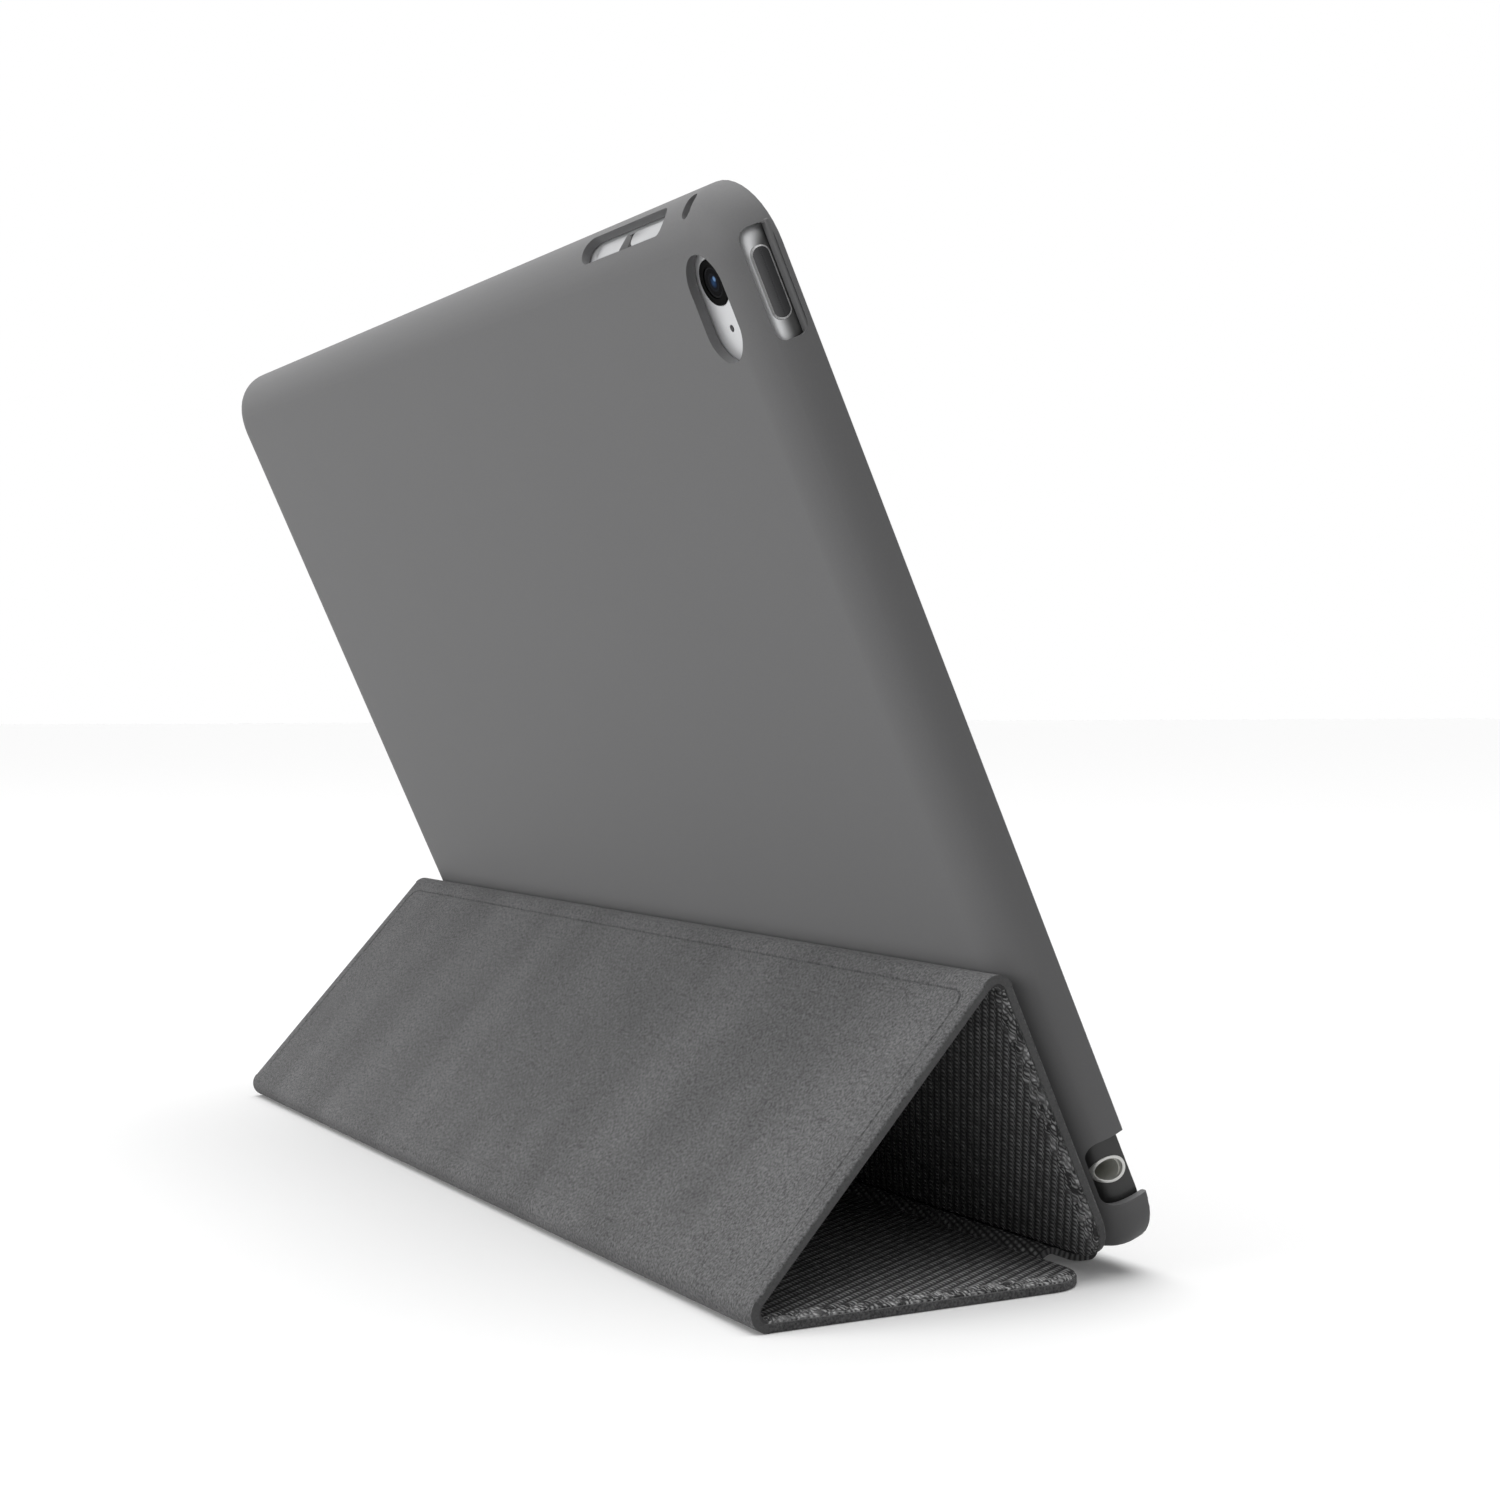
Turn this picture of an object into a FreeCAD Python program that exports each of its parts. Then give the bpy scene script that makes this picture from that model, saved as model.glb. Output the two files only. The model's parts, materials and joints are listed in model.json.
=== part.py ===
import FreeCAD, Part
import math
import os
from FreeCAD import Placement, Rotation, Vector

os.makedirs("parts", exist_ok=True)

# Tablet, a slim slate with a curved back edge (mm)
tablet_length = 240.0
tablet_width = 169.5
tablet_thick = 6.1
tablet_corner = 9.5
tablet_edge_radius = 5.8
housing_back = 0.9
housing_rim = 6.0
cavity_corner = 4.0
glass_thick = 0.7
glass_border = 0.5
display_length = 200.0
display_width = 151.0
display_thick = 1.5
part_gap = 0.1
overcut = 1.0
tiny = 1e-6

# Inner pieces of the tablet
cell_length = 88.0
cell_width = 112.0
cell_thick = 2.2
cell_spacing = 4.0
cell_corner = 2.0
board_strip_width = 26.0
board_strip_thick = 0.8
board_strip_corner = 1.0
chip_size = 13.0
chip_thick = 1.0
chip_pitch = 30.0
chip_count = 5
speaker_length = 24.0
speaker_width = 10.0
speaker_thick = 2.4
speaker_corner = 1.5

# Tablet features that the shell leaves open
camera_from_end = 9.2
camera_from_top = 11.4
camera_ring_dia = 6.8
camera_lens_dia = 4.6
camera_ring_proud = 0.25
camera_module_size = 5.4
camera_module_thick = 2.6
camera_module_corner = 0.8
rear_mic_dia = 1.1
rear_mic_below_camera = 6.9
volume_from_end = 31.8
volume_key_length = 11.5
volume_key_width = 2.6
volume_key_gap = 1.0
volume_angle = 45.0
power_from_top = 14.1
power_key_length = 10.6
power_key_width = 2.1
power_angle = 24.0
key_proud = 0.3
key_depth = 1.5
key_travel = 0.25
key_edge = 0.25
home_dia = 10.9
home_from_end = 10.6
home_thick = 1.2
home_ring_wall = 0.4
home_travel = 0.3
home_dish_radius = 40.0
home_dish_depth = 0.3
front_camera_dia = 3.0
front_camera_thick = 2.2
front_camera_from_end = 9.0
jack_from_bottom = 13.9
jack_height = 3.15
jack_outer_dia = 4.0
jack_bore_dia = 3.5
jack_length = 13.5
jack_recess = 0.6
dock_length = 8.8
dock_width = 2.6
dock_height = 2.9
dock_depth = 6.5
dock_wall = 0.4
side_mic_from_end = 10.0
side_mic_dia = 0.9
side_mic_angle = 40.0
side_mic_depth = 2.0
speaker_hole_dia = 1.5
speaker_hole_pitch = 3.0
speaker_hole_count = 7
speaker_first_hole = 12.0

# Clip-on rear shell
fit_gap = 0.1
side_wall = 1.4
back_wall = 1.5
rim_above_glass = 0.74
rim_edge = 0.45
camera_window_length = 16.2
camera_window_width = 9.6
camera_window_drop = 3.5
volume_window_length = 29.0
volume_window_width = 4.6
mic_window_length = 4.2
mic_window_width = 2.4
power_window_length = 16.5
power_window_width = 5.0
power_window_corner = 1.8
power_window_angle = 20.0
jack_window_length = 10.6
jack_window_floor = 1.75
jack_window_corner = 2.2
dock_window_length = 14.0
port_window_width = 5.0
port_angle = 22.0
speaker_window_length = 26.0

# Folding cover, in the triangle that props the shell up
floor_run = 67.83
slope_length = 67.5
rest_length = 55.0
cover_inset = 0.25
floor_panel_length = 62.0
free_edge_lift = 4.1
shell_lift = 1.06
shell_rest_gap = 0.3
lining_thick = 0.5
board_thick = 0.8
twill_thick = 0.5
fold_radius = 2.85
fold_thick = 1.0
fold_gap = 0.1
fold_axis_above_twill = 0.2
board_margin = 4.5
board_fold_margin = 1.5
panel_corner = 7.5
board_corner = 3.5
keeper_length = 150.0
keeper_width = 5.0
magnet_length = 12.0
magnet_width = 4.0
magnet_count = 6
magnet_pitch = 34.0
magnet_inset = 3.0
wake_magnet_dia = 6.0
wake_magnet_from_end = 9.25

# Spine strip between the floor panel and the shell
spine_inset = 15.25
spine_thick = 1.2
spine_glue = 0.05
spine_floor_gap = 0.1
spine_fold_reach = 0.15
spine_end_gap = 0.3
tab_end_angle = 56.0

# Derived sizes
shell_length = tablet_length + 2 * (fit_gap + side_wall)
shell_width = tablet_width + 2 * (fit_gap + side_wall)
shell_thick = back_wall + fit_gap + tablet_thick + rim_above_glass
shell_corner = tablet_corner + fit_gap + side_wall
shell_edge_radius = tablet_edge_radius + fit_gap + side_wall
tablet_y0 = side_wall + fit_gap
tablet_y1 = tablet_y0 + tablet_width
tablet_back = back_wall + fit_gap
tablet_front = tablet_back + tablet_thick
glass_back = tablet_front - glass_thick
cavity_floor = tablet_back + housing_back
panel_thick = lining_thick + board_thick + twill_thick
tablet_mid = tablet_y0 + tablet_width / 2
camera_x = camera_from_end - tablet_length / 2
camera_y = tablet_y1 - camera_from_top
volume_x = volume_from_end - tablet_length / 2
side_mic_x = side_mic_from_end - tablet_length / 2
power_y = tablet_y1 - power_from_top
jack_y = tablet_y0 + jack_from_bottom
cover_length = shell_length - 2 * cover_inset
spine_length = cover_length - 2 * spine_inset
wake_magnet_x = cover_length / 2 - wake_magnet_from_end

# The triangle of floor, slope and rest panels sets the lean of the shell
lean = math.acos((floor_run ** 2 + rest_length ** 2 - slope_length ** 2) / (2 * floor_run * rest_length))
slope = math.acos((floor_run ** 2 + slope_length ** 2 - rest_length ** 2) / (2 * floor_run * slope_length))
ridge_half = (math.pi - lean - slope) / 2
rear_half = slope / 2
up_shell = Vector(0, math.cos(lean), math.sin(lean))
to_screen = Vector(0, -math.sin(lean), math.cos(lean))
up_slope = Vector(0, -math.cos(slope), math.sin(slope))
in_slope = Vector(0, -math.sin(slope), -math.cos(slope))
rear_corner = Vector(0, 0, 0)
rest_foot = Vector(0, -floor_run, 0)
ridge_corner = rest_foot + up_shell * rest_length
shell_origin = rest_foot + up_shell * shell_lift + to_screen * shell_rest_gap
rear_setback = fold_radius / math.tan(rear_half)
ridge_setback = fold_radius / math.tan(ridge_half)
pieces = {}


def plate(length, width, thick, near_corner, far_corner):
    """Flat plate centred on x, from y 0 to width, with its own corner radius at each end of y."""
    body = Part.makeBox(length, width, thick, Vector(-length / 2, 0, 0))
    for radius, y in ((near_corner, 0.0), (far_corner, width)):
        if radius > 0:
            upright = [e for e in body.Edges if abs(e.BoundBox.ZLength - thick) < tiny]
            ends = [e for e in upright if abs(e.CenterOfMass.y - y) < tiny]
            body = body.makeFillet(radius, ends)
    return body


def slate(length, width, thick, corner, edge):
    """Plate with rounded corners whose lower rim is rolled with a large radius, as a tablet's back is."""
    body = plate(length, width, thick, corner, corner)
    lower = [e for e in body.Edges if e.BoundBox.ZMax < tiny]
    return body.makeFillet(edge, lower)


def pill(length, width, depth, corner=None):
    """Prism along z with rounded ends, centred on the origin in x and y."""
    radius = min(length, width) / 2 - 1e-3 if corner is None else corner
    body = Part.makeBox(length, width, depth, Vector(-length / 2, -width / 2, 0))
    upright = [e for e in body.Edges if abs(e.BoundBox.ZLength - depth) < tiny]
    return body.makeFillet(radius, upright)


def disc(diameter, z0, z1, x, y):
    return Part.makeCylinder(diameter / 2, z1 - z0, Vector(x, y, z0))


def edge_frame(side, along, angle, radius):
    """Frame on the rolled edge of the tablet: x runs along the edge and z points out of it."""
    out = math.cos(math.radians(angle))
    back = math.sin(math.radians(angle))
    axis_height = tablet_back + tablet_edge_radius
    if side == "top":
        centre = Vector(along, tablet_y1 - tablet_edge_radius, axis_height)
        normal = Vector(0, out, -back)
        run = Vector(1, 0, 0)
    else:
        sign = -1 if side == "right" else 1
        centre = Vector(sign * (tablet_length / 2 - tablet_edge_radius), along, axis_height)
        normal = Vector(sign * out, 0, -back)
        run = Vector(0, 1, 0)
    turn = Rotation(run, Vector(), normal, "ZXY")
    return Placement(centre + normal * radius, turn)


def on_edge(shape, side, along, angle, radius):
    placed = shape.copy()
    placed.Placement = edge_frame(side, along, angle, radius).multiply(shape.Placement)
    return placed


def cut_all(body, tools):
    for tool in tools:
        body = body.cut(tool)
    return body


def raised(shape, offset):
    moved = shape.copy()
    moved.translate(offset)
    return moved


# Tablet housing: machined tub with a rolled back edge, a glass ledge and pockets for its keys
tablet_blank = raised(slate(tablet_length, tablet_width, tablet_thick, tablet_corner, tablet_edge_radius),
                      Vector(0, tablet_y0, tablet_back))
home_x = tablet_length / 2 - home_from_end
home_seat = disc(home_dia + 2 * part_gap, tablet_front - home_thick - home_travel - part_gap, tablet_front,
                 home_x, tablet_mid)
glass_length = tablet_length - 2 * glass_border
glass_width = tablet_width - 2 * glass_border
glass_corner = tablet_corner - glass_border
glass_blank = raised(plate(glass_length, glass_width, glass_thick, glass_corner, glass_corner),
                     Vector(0, tablet_y0 + glass_border, glass_back))
glass_seat = raised(plate(glass_length + 2 * part_gap, glass_width + 2 * part_gap, glass_thick,
                          glass_corner, glass_corner),
                    Vector(0, tablet_y0 + glass_border - part_gap, glass_back))
cavity = raised(plate(tablet_length - 2 * housing_rim, tablet_width - 2 * housing_rim, tablet_thick,
                      cavity_corner, cavity_corner),
                Vector(0, tablet_y0 + housing_rim, cavity_floor))
camera_hole = disc(camera_ring_dia + 2 * part_gap, 0, tablet_front, camera_x, camera_y)
rear_mic_hole = disc(rear_mic_dia, 0, cavity_floor + part_gap, camera_x, camera_y - rear_mic_below_camera)
key_pocket_depth = key_depth + key_travel + part_gap
key_cut_depth = key_pocket_depth + key_proud + overcut
volume_step = (volume_key_length + volume_key_gap) / 2
key_seats = []
volume_xs = (volume_x - volume_step, volume_x + volume_step)
for key_x in volume_xs:
    seat = pill(volume_key_length + 2 * part_gap, volume_key_width + 2 * part_gap, key_cut_depth)
    key_seats.append(on_edge(seat, "top", key_x, volume_angle, tablet_edge_radius - key_pocket_depth))
power_seat = pill(power_key_length + 2 * part_gap, power_key_width + 2 * part_gap, key_cut_depth)
key_seats.append(on_edge(power_seat, "right", power_y, power_angle, tablet_edge_radius - key_pocket_depth))
jack_axis = Vector(-tablet_length / 2, jack_y, tablet_back + jack_height)
jack_start = jack_axis - Vector(overcut, 0, 0)
jack_hole_radius = jack_outer_dia / 2 + part_gap
jack_hole = Part.makeCylinder(jack_hole_radius, jack_length + 2 * overcut, jack_start, Vector(1, 0, 0))
side_mic_drill = Part.makeCylinder(side_mic_dia / 2, side_mic_depth + overcut)
side_mic = on_edge(side_mic_drill, "top", side_mic_x, side_mic_angle, tablet_edge_radius - side_mic_depth)
dock_seat = pill(dock_width + 2 * part_gap, dock_length + 2 * part_gap, dock_depth + overcut)
dock_turn = Placement(Vector(tablet_length / 2 + overcut, tablet_mid, tablet_back + dock_height),
                      Rotation(Vector(0, 0, 1), Vector(0, 1, 0), Vector(-1, 0, 0), "ZYX"))
dock_seat.Placement = dock_turn
speaker_holes = []
for sign in (-1, 1):
    for index in range(speaker_hole_count):
        hole_y = tablet_mid + sign * (speaker_first_hole + index * speaker_hole_pitch)
        start = Vector(tablet_length / 2 + overcut, hole_y, tablet_back + dock_height)
        drill = Part.makeCylinder(speaker_hole_dia / 2, housing_rim + 2 * overcut, start, Vector(-1, 0, 0))
        speaker_holes.append(drill)
housing = cut_all(tablet_blank, [glass_seat, cavity, camera_hole, rear_mic_hole, jack_hole, side_mic])
housing = cut_all(housing, [dock_seat, home_seat] + key_seats + speaker_holes)
pieces["tablet_housing"] = housing

# Cover glass with the home key's hole, and the metal ring that lines it
ring_outer = home_dia + 2 * (part_gap + home_ring_wall)
home_opening = disc(ring_outer + 2 * part_gap, 0, tablet_front + overcut, home_x, tablet_mid)
pieces["display_glass"] = glass_blank.cut(home_opening)
ring_bore = disc(home_dia + 2 * part_gap, 0, tablet_front + overcut, home_x, tablet_mid)
pieces["home_ring"] = disc(ring_outer, glass_back, tablet_front, home_x, tablet_mid).cut(ring_bore)
home_key = disc(home_dia, tablet_front - home_thick, tablet_front, home_x, tablet_mid)
dish_centre = Vector(home_x, tablet_mid, tablet_front - home_dish_depth + home_dish_radius)
pieces["home_button"] = home_key.cut(Part.makeSphere(home_dish_radius, dish_centre))

# Display, cells, logic board, cameras and speakers inside the tub
display_blank = plate(display_length, display_width, display_thick, 0, 0)
display_corner = Vector(0, tablet_mid - display_width / 2, glass_back - display_thick)
pieces["display_panel"] = raised(display_blank, display_corner)
cell = plate(cell_length, cell_width, cell_thick, cell_corner, cell_corner)
cell_step = (cell_length + cell_spacing) / 2
cell_y = tablet_y0 + housing_rim + part_gap
cells = [raised(cell, Vector(sign * cell_step, cell_y, cavity_floor)) for sign in (-1, 1)]
pieces["battery_cells"] = Part.makeCompound(cells)
strip_y = cell_y + cell_width + cell_spacing
strip = plate(2 * cell_length, board_strip_width, board_strip_thick, board_strip_corner, board_strip_corner)
strip = raised(strip, Vector(0, strip_y, cavity_floor))
chip_blank = Part.makeBox(chip_size, chip_size, chip_thick)
for index in range(chip_count):
    chip_x = (index - (chip_count - 1) / 2) * chip_pitch - chip_size / 2
    corner = Vector(chip_x, strip_y + (board_strip_width - chip_size) / 2, cavity_floor + board_strip_thick)
    strip = strip.fuse(raised(chip_blank, corner))
pieces["logic_board"] = strip.removeSplitter()
ring_face = tablet_back - camera_ring_proud
lens_bore = disc(camera_lens_dia + 2 * part_gap, 0, tablet_front, camera_x, camera_y)
pieces["camera_ring"] = disc(camera_ring_dia, ring_face, cavity_floor, camera_x, camera_y).cut(lens_bore)
pieces["camera_lens"] = disc(camera_lens_dia, tablet_back - part_gap, cavity_floor, camera_x, camera_y)
module = plate(camera_module_size, camera_module_size, camera_module_thick, camera_module_corner,
               camera_module_corner)
pieces["camera_module"] = raised(module, Vector(camera_x, camera_y - camera_module_size / 2, cavity_floor))
front_camera_x = front_camera_from_end - tablet_length / 2
front_camera_z = glass_back - front_camera_thick
pieces["front_camera"] = disc(front_camera_dia, front_camera_z, glass_back, front_camera_x, tablet_mid)
speaker = plate(speaker_length, speaker_width, speaker_thick, speaker_corner, speaker_corner)
speaker.rotate(Vector(0, 0, 0), Vector(0, 0, 1), 90)
speaker_x = tablet_length / 2 - housing_rim - part_gap
speaker_mid = speaker_first_hole + (speaker_hole_count - 1) * speaker_hole_pitch / 2
speaker_ys = (tablet_mid - speaker_mid, tablet_mid + speaker_mid)
speakers = [raised(speaker, Vector(speaker_x, y, cavity_floor)) for y in speaker_ys]
pieces["speaker_modules"] = Part.makeCompound(speakers)

# Keys on the rolled edge, each a pill with a softened crown
for name, key_x in zip(("volume_up_button", "volume_down_button"), volume_xs):
    key = pill(volume_key_length, volume_key_width, key_depth + key_proud)
    crown = [e for e in key.Edges if e.BoundBox.ZMin > key_depth + key_proud - tiny]
    key = key.makeFillet(key_edge, crown)
    pieces[name] = on_edge(key, "top", key_x, volume_angle, tablet_edge_radius - key_depth)
key = pill(power_key_length, power_key_width, key_depth + key_proud)
crown = [e for e in key.Edges if e.BoundBox.ZMin > key_depth + key_proud - tiny]
pieces["power_button"] = on_edge(key.makeFillet(key_edge, crown), "right", power_y, power_angle,
                                 tablet_edge_radius - key_depth)

# Sockets: the headphone barrel, trimmed flush with the rolled edge, and the dock connector's open shell
jack_mouth = jack_axis + Vector(jack_recess, 0, 0)
barrel = Part.makeCylinder(jack_outer_dia / 2, jack_length, jack_mouth, Vector(1, 0, 0))
jack_bore = Part.makeCylinder(jack_bore_dia / 2, jack_length, jack_mouth, Vector(1, 0, 0))
pieces["headphone_jack"] = barrel.common(tablet_blank).cut(jack_bore)
dock = pill(dock_width, dock_length, dock_depth)
dock_bore = pill(dock_width - 2 * dock_wall, dock_length - 2 * dock_wall, dock_depth - dock_wall)
dock = dock.cut(dock_bore)
dock.Placement = Placement(dock_turn.Base - Vector(overcut + part_gap, 0, 0), dock_turn.Rotation)
pieces["dock_port"] = dock

# Clip-on shell: a thin tray that follows the tablet's rolled edge, with a window at each control
tray = slate(shell_length, shell_width, shell_thick, shell_corner, shell_edge_radius)
room_depth = tablet_thick + rim_above_glass + overcut
tray_room = raised(slate(tablet_length + 2 * fit_gap, tablet_width + 2 * fit_gap, room_depth,
                         tablet_corner + fit_gap, tablet_edge_radius + fit_gap),
                   Vector(0, side_wall, back_wall))
shell = tray.cut(tray_room)
rim_edges = [e for e in shell.Edges if e.BoundBox.ZMin > shell_thick - tiny]
shell = shell.makeFillet(rim_edge, rim_edges)
window_depth = side_wall + back_wall + 2 * overcut
window_start = tablet_edge_radius - overcut
camera_window = pill(camera_window_width, camera_window_length, window_depth)
camera_window.translate(Vector(camera_x, camera_y - camera_window_drop, -overcut))
windows = [
    camera_window,
    on_edge(pill(volume_window_length, volume_window_width, window_depth), "top", volume_x, volume_angle,
            window_start),
    on_edge(pill(mic_window_width, mic_window_length, window_depth), "top", side_mic_x, side_mic_angle,
            window_start),
    on_edge(pill(power_window_length, power_window_width, window_depth, power_window_corner), "right",
            power_y, power_window_angle, window_start),
    on_edge(pill(dock_window_length, port_window_width, window_depth), "left", tablet_mid, port_angle,
            window_start),
]
for sign in (-1, 1):
    slot = pill(speaker_window_length, port_window_width, window_depth)
    windows.append(on_edge(slot, "left", tablet_mid + sign * speaker_mid, port_angle, window_start))
notch_corner = Vector(-shell_length / 2 - overcut, jack_y - jack_window_length / 2, jack_window_floor)
notch = Part.makeBox(shell_edge_radius + overcut, jack_window_length, shell_thick, notch_corner)
lower = [e for e in notch.Edges if e.BoundBox.ZMax < jack_window_floor + tiny]
notch_floor = [e for e in lower if e.BoundBox.YLength < tiny]
windows.append(notch.makeFillet(jack_window_corner, notch_floor))
pieces["rear_shell"] = cut_all(shell, windows)
shell_nodes = list(pieces)

# Turn the shell and the tablet to their lean and set them above the floor
shell_place = Placement(shell_origin, Rotation(Vector(1, 0, 0), math.degrees(lean)))
for name in shell_nodes:
    pieces[name].Placement = shell_place.multiply(pieces[name].Placement)


def add_panel(name, start, turn, length, near_margin, far_margin, near_corner, far_corner, inserts):
    """One stiff panel: a microfibre lining that is dished round its board, and a twill skin over both.

    The panel is drawn flat, lining down, then turned about x and moved to start.
    Each insert is a list of prisms that fill holes in the board."""
    place = Placement(start, Rotation(Vector(1, 0, 0), math.degrees(turn)))
    lining = plate(cover_length, length, lining_thick + board_thick, near_corner, far_corner)
    board_width = length - near_margin - far_margin
    dish = plate(cover_length - 2 * board_margin + 2 * part_gap, board_width + 2 * part_gap, board_thick,
                 board_corner, board_corner)
    dish.translate(Vector(0, near_margin - part_gap, lining_thick))
    board = plate(cover_length - 2 * board_margin, board_width, board_thick, board_corner, board_corner)
    board.translate(Vector(0, near_margin, lining_thick))
    twill = plate(cover_length, length, twill_thick, near_corner, far_corner)
    twill.translate(Vector(0, 0, lining_thick + board_thick))
    made = {name + "_lining": lining.cut(dish), name + "_twill": twill}
    for insert_name, prisms in inserts.items():
        board = cut_all(board, prisms)
        made[insert_name] = prisms[0] if len(prisms) == 1 else Part.makeCompound(prisms)
    made[name + "_board"] = board
    for node, shape in made.items():
        shape.Placement = place.multiply(shape.Placement)
        pieces[node] = shape


# Floor panel, with the steel keeper that the free edge's magnets hold to
floor_flat = floor_panel_length - rear_setback - fold_gap
keeper = plate(keeper_length, keeper_width, board_thick, 0, 0)
keeper.translate(Vector(0, board_margin + magnet_inset, lining_thick))
add_panel("floor_panel", Vector(0, -floor_panel_length, 0), 0.0, floor_flat,
          board_margin, board_fold_margin, panel_corner, 0.0, {"keeper_strip": [keeper]})

# Slope panel, from the rear fold up to the ridge
slope_flat = slope_length - rear_setback - ridge_setback - 2 * fold_gap
add_panel("slope_panel", rear_corner + up_slope * (rear_setback + fold_gap), math.pi - slope, slope_flat,
          board_fold_margin, board_fold_margin, 0.0, 0.0, {})

# Rest panel, from the ridge down the shell's back to its free edge, with its magnets
rest_flat = rest_length - free_edge_lift - ridge_setback - fold_gap
magnet_y = rest_flat - board_margin - magnet_inset - magnet_width
magnets = []
for index in range(magnet_count):
    magnet = plate(magnet_length, magnet_width, board_thick, 0, 0)
    magnet.translate(Vector((index - (magnet_count - 1) / 2) * magnet_pitch, magnet_y, lining_thick))
    magnets.append(magnet)
wake_magnet = disc(wake_magnet_dia, lining_thick, lining_thick + board_thick, wake_magnet_x, rest_flat / 2)
add_panel("rest_panel", ridge_corner - up_shell * (ridge_setback + fold_gap), math.pi + lean, rest_flat,
          board_fold_margin, board_margin, 0.0, panel_corner,
          {"edge_magnets": magnets, "wake_magnet": [wake_magnet]})


def add_fold(name, length, centre, first, sweep, inner, thick):
    """Bent strip of cloth: a rectangle swept about a line along x, from the direction first by sweep."""
    along = Vector(length / 2, 0, 0)
    low = centre + first * inner
    high = centre + first * (inner + thick)
    ring = Part.makePolygon([low - along, low + along, high + along, high - along, low - along])
    pieces[name] = Part.Face(ring).revolve(centre, Vector(1, 0, 0), math.degrees(sweep))


# Soft folds, where lining and twill are pressed together with no board between them
rear_centre = Vector(0, -rear_setback, fold_radius)
ridge_centre = ridge_corner - up_slope * ridge_setback + in_slope * fold_radius
fold_inner = fold_radius - fold_thick
add_fold("rear_fold", cover_length, rear_centre, Vector(0, 0, -1), math.pi - slope, fold_inner, fold_thick)
add_fold("ridge_fold", cover_length, ridge_centre, in_slope * -1, lean + slope, fold_inner, fold_thick)

# Spine: a strip on the floor, a loop under the shell's edge and a tab glued round that edge
edge_axis = shell_origin + up_shell * shell_edge_radius + to_screen * shell_edge_radius


def edge_direction(angle):
    turn = math.radians(angle)
    return up_shell * -math.cos(turn) - to_screen * math.sin(turn)


tab_start_angle = 90 - math.degrees(lean)
tab_inner = shell_edge_radius + spine_glue
tab_sweep = math.radians(tab_end_angle - tab_start_angle)
tab_start = edge_direction(tab_start_angle)
add_fold("spine_tab", spine_length, edge_axis, tab_start, tab_sweep, tab_inner, spine_thick)
tab_end = edge_axis + tab_start * (tab_inner + spine_thick / 2)
strip_mid = spine_floor_gap + spine_thick / 2
loop_radius = (tab_end.z - strip_mid) / 2
loop_axis = Vector(0, tab_end.y - spine_end_gap, strip_mid + loop_radius)
spine_axis = Vector(0, -floor_panel_length - spine_fold_reach, spine_floor_gap)
strip_start = loop_axis.y + part_gap
strip_width = spine_axis.y - spine_end_gap - strip_start
spine_strip = plate(spine_length, strip_width, spine_thick, 0, 0)
pieces["spine_strip"] = raised(spine_strip, Vector(0, strip_start, spine_floor_gap))
loop_inner = loop_radius - spine_thick / 2
add_fold("spine_loop", spine_length, loop_axis, Vector(0, 0, 1), math.pi, loop_inner, spine_thick)

# Centre the assembly on its footprint, write each piece, and print the fold lines
box = FreeCAD.BoundBox()
for shape in pieces.values():
    box.add(shape.optimalBoundingBox(False, False))
home = Vector(-box.Center.x, -box.Center.y, -box.ZMin)
for name, shape in pieces.items():
    shape.translate(home)
    shape.exportStep("parts/" + name + ".step")
    print(name, len(shape.Solids), shape.isValid(), round(shape.Volume, 2))

fold_height = panel_thick + fold_axis_above_twill
rear_axis = rear_corner + Vector(0, -fold_height / math.tan(rear_half), fold_height)
ridge_axis = ridge_corner - up_slope * (fold_height / math.tan(ridge_half)) + in_slope * fold_height
for name, point in (("rear_axis", rear_axis), ("ridge_axis", ridge_axis), ("spine_axis", spine_axis),
                    ("loop_axis", loop_axis), ("shell_origin", shell_origin), ("rear_corner", rear_corner),
                    ("ridge_corner", ridge_corner)):
    print(name, [round(value, 4) for value in point + home])
print("lean", round(math.degrees(lean), 4), "slope", round(math.degrees(slope), 4))
print("size", round(box.XLength, 2), round(box.YLength, 2), round(box.ZLength, 2))
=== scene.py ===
import bmesh
import bpy
import json
import math
from mathutils import Matrix, Vector


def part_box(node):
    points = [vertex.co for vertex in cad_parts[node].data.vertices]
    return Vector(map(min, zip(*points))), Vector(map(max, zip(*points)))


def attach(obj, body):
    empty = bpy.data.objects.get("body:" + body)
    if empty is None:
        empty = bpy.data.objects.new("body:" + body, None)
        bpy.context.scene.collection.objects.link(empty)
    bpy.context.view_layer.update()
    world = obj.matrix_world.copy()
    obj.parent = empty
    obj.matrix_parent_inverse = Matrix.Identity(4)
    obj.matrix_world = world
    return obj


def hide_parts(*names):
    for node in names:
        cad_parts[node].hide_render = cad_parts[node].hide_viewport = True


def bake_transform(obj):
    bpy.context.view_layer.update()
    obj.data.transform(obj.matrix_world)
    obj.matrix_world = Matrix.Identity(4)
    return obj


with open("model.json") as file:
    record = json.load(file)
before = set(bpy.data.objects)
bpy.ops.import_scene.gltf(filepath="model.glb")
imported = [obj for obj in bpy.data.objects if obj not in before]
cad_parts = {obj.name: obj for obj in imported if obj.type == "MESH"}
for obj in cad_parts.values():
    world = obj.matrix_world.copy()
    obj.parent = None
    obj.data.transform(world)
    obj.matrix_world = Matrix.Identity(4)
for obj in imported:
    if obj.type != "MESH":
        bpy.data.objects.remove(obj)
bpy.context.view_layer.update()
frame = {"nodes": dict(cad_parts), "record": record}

# The rear shell is one thin moulded tray in a soft-touch grey polycarbonate.
# It clips over the tablet's rolled edge and has a window at each key, lens and socket.
SHELL_GREY = (0.172, 0.172, 0.174, 1.0)
SHELL_GLOSS = 0.18


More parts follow.
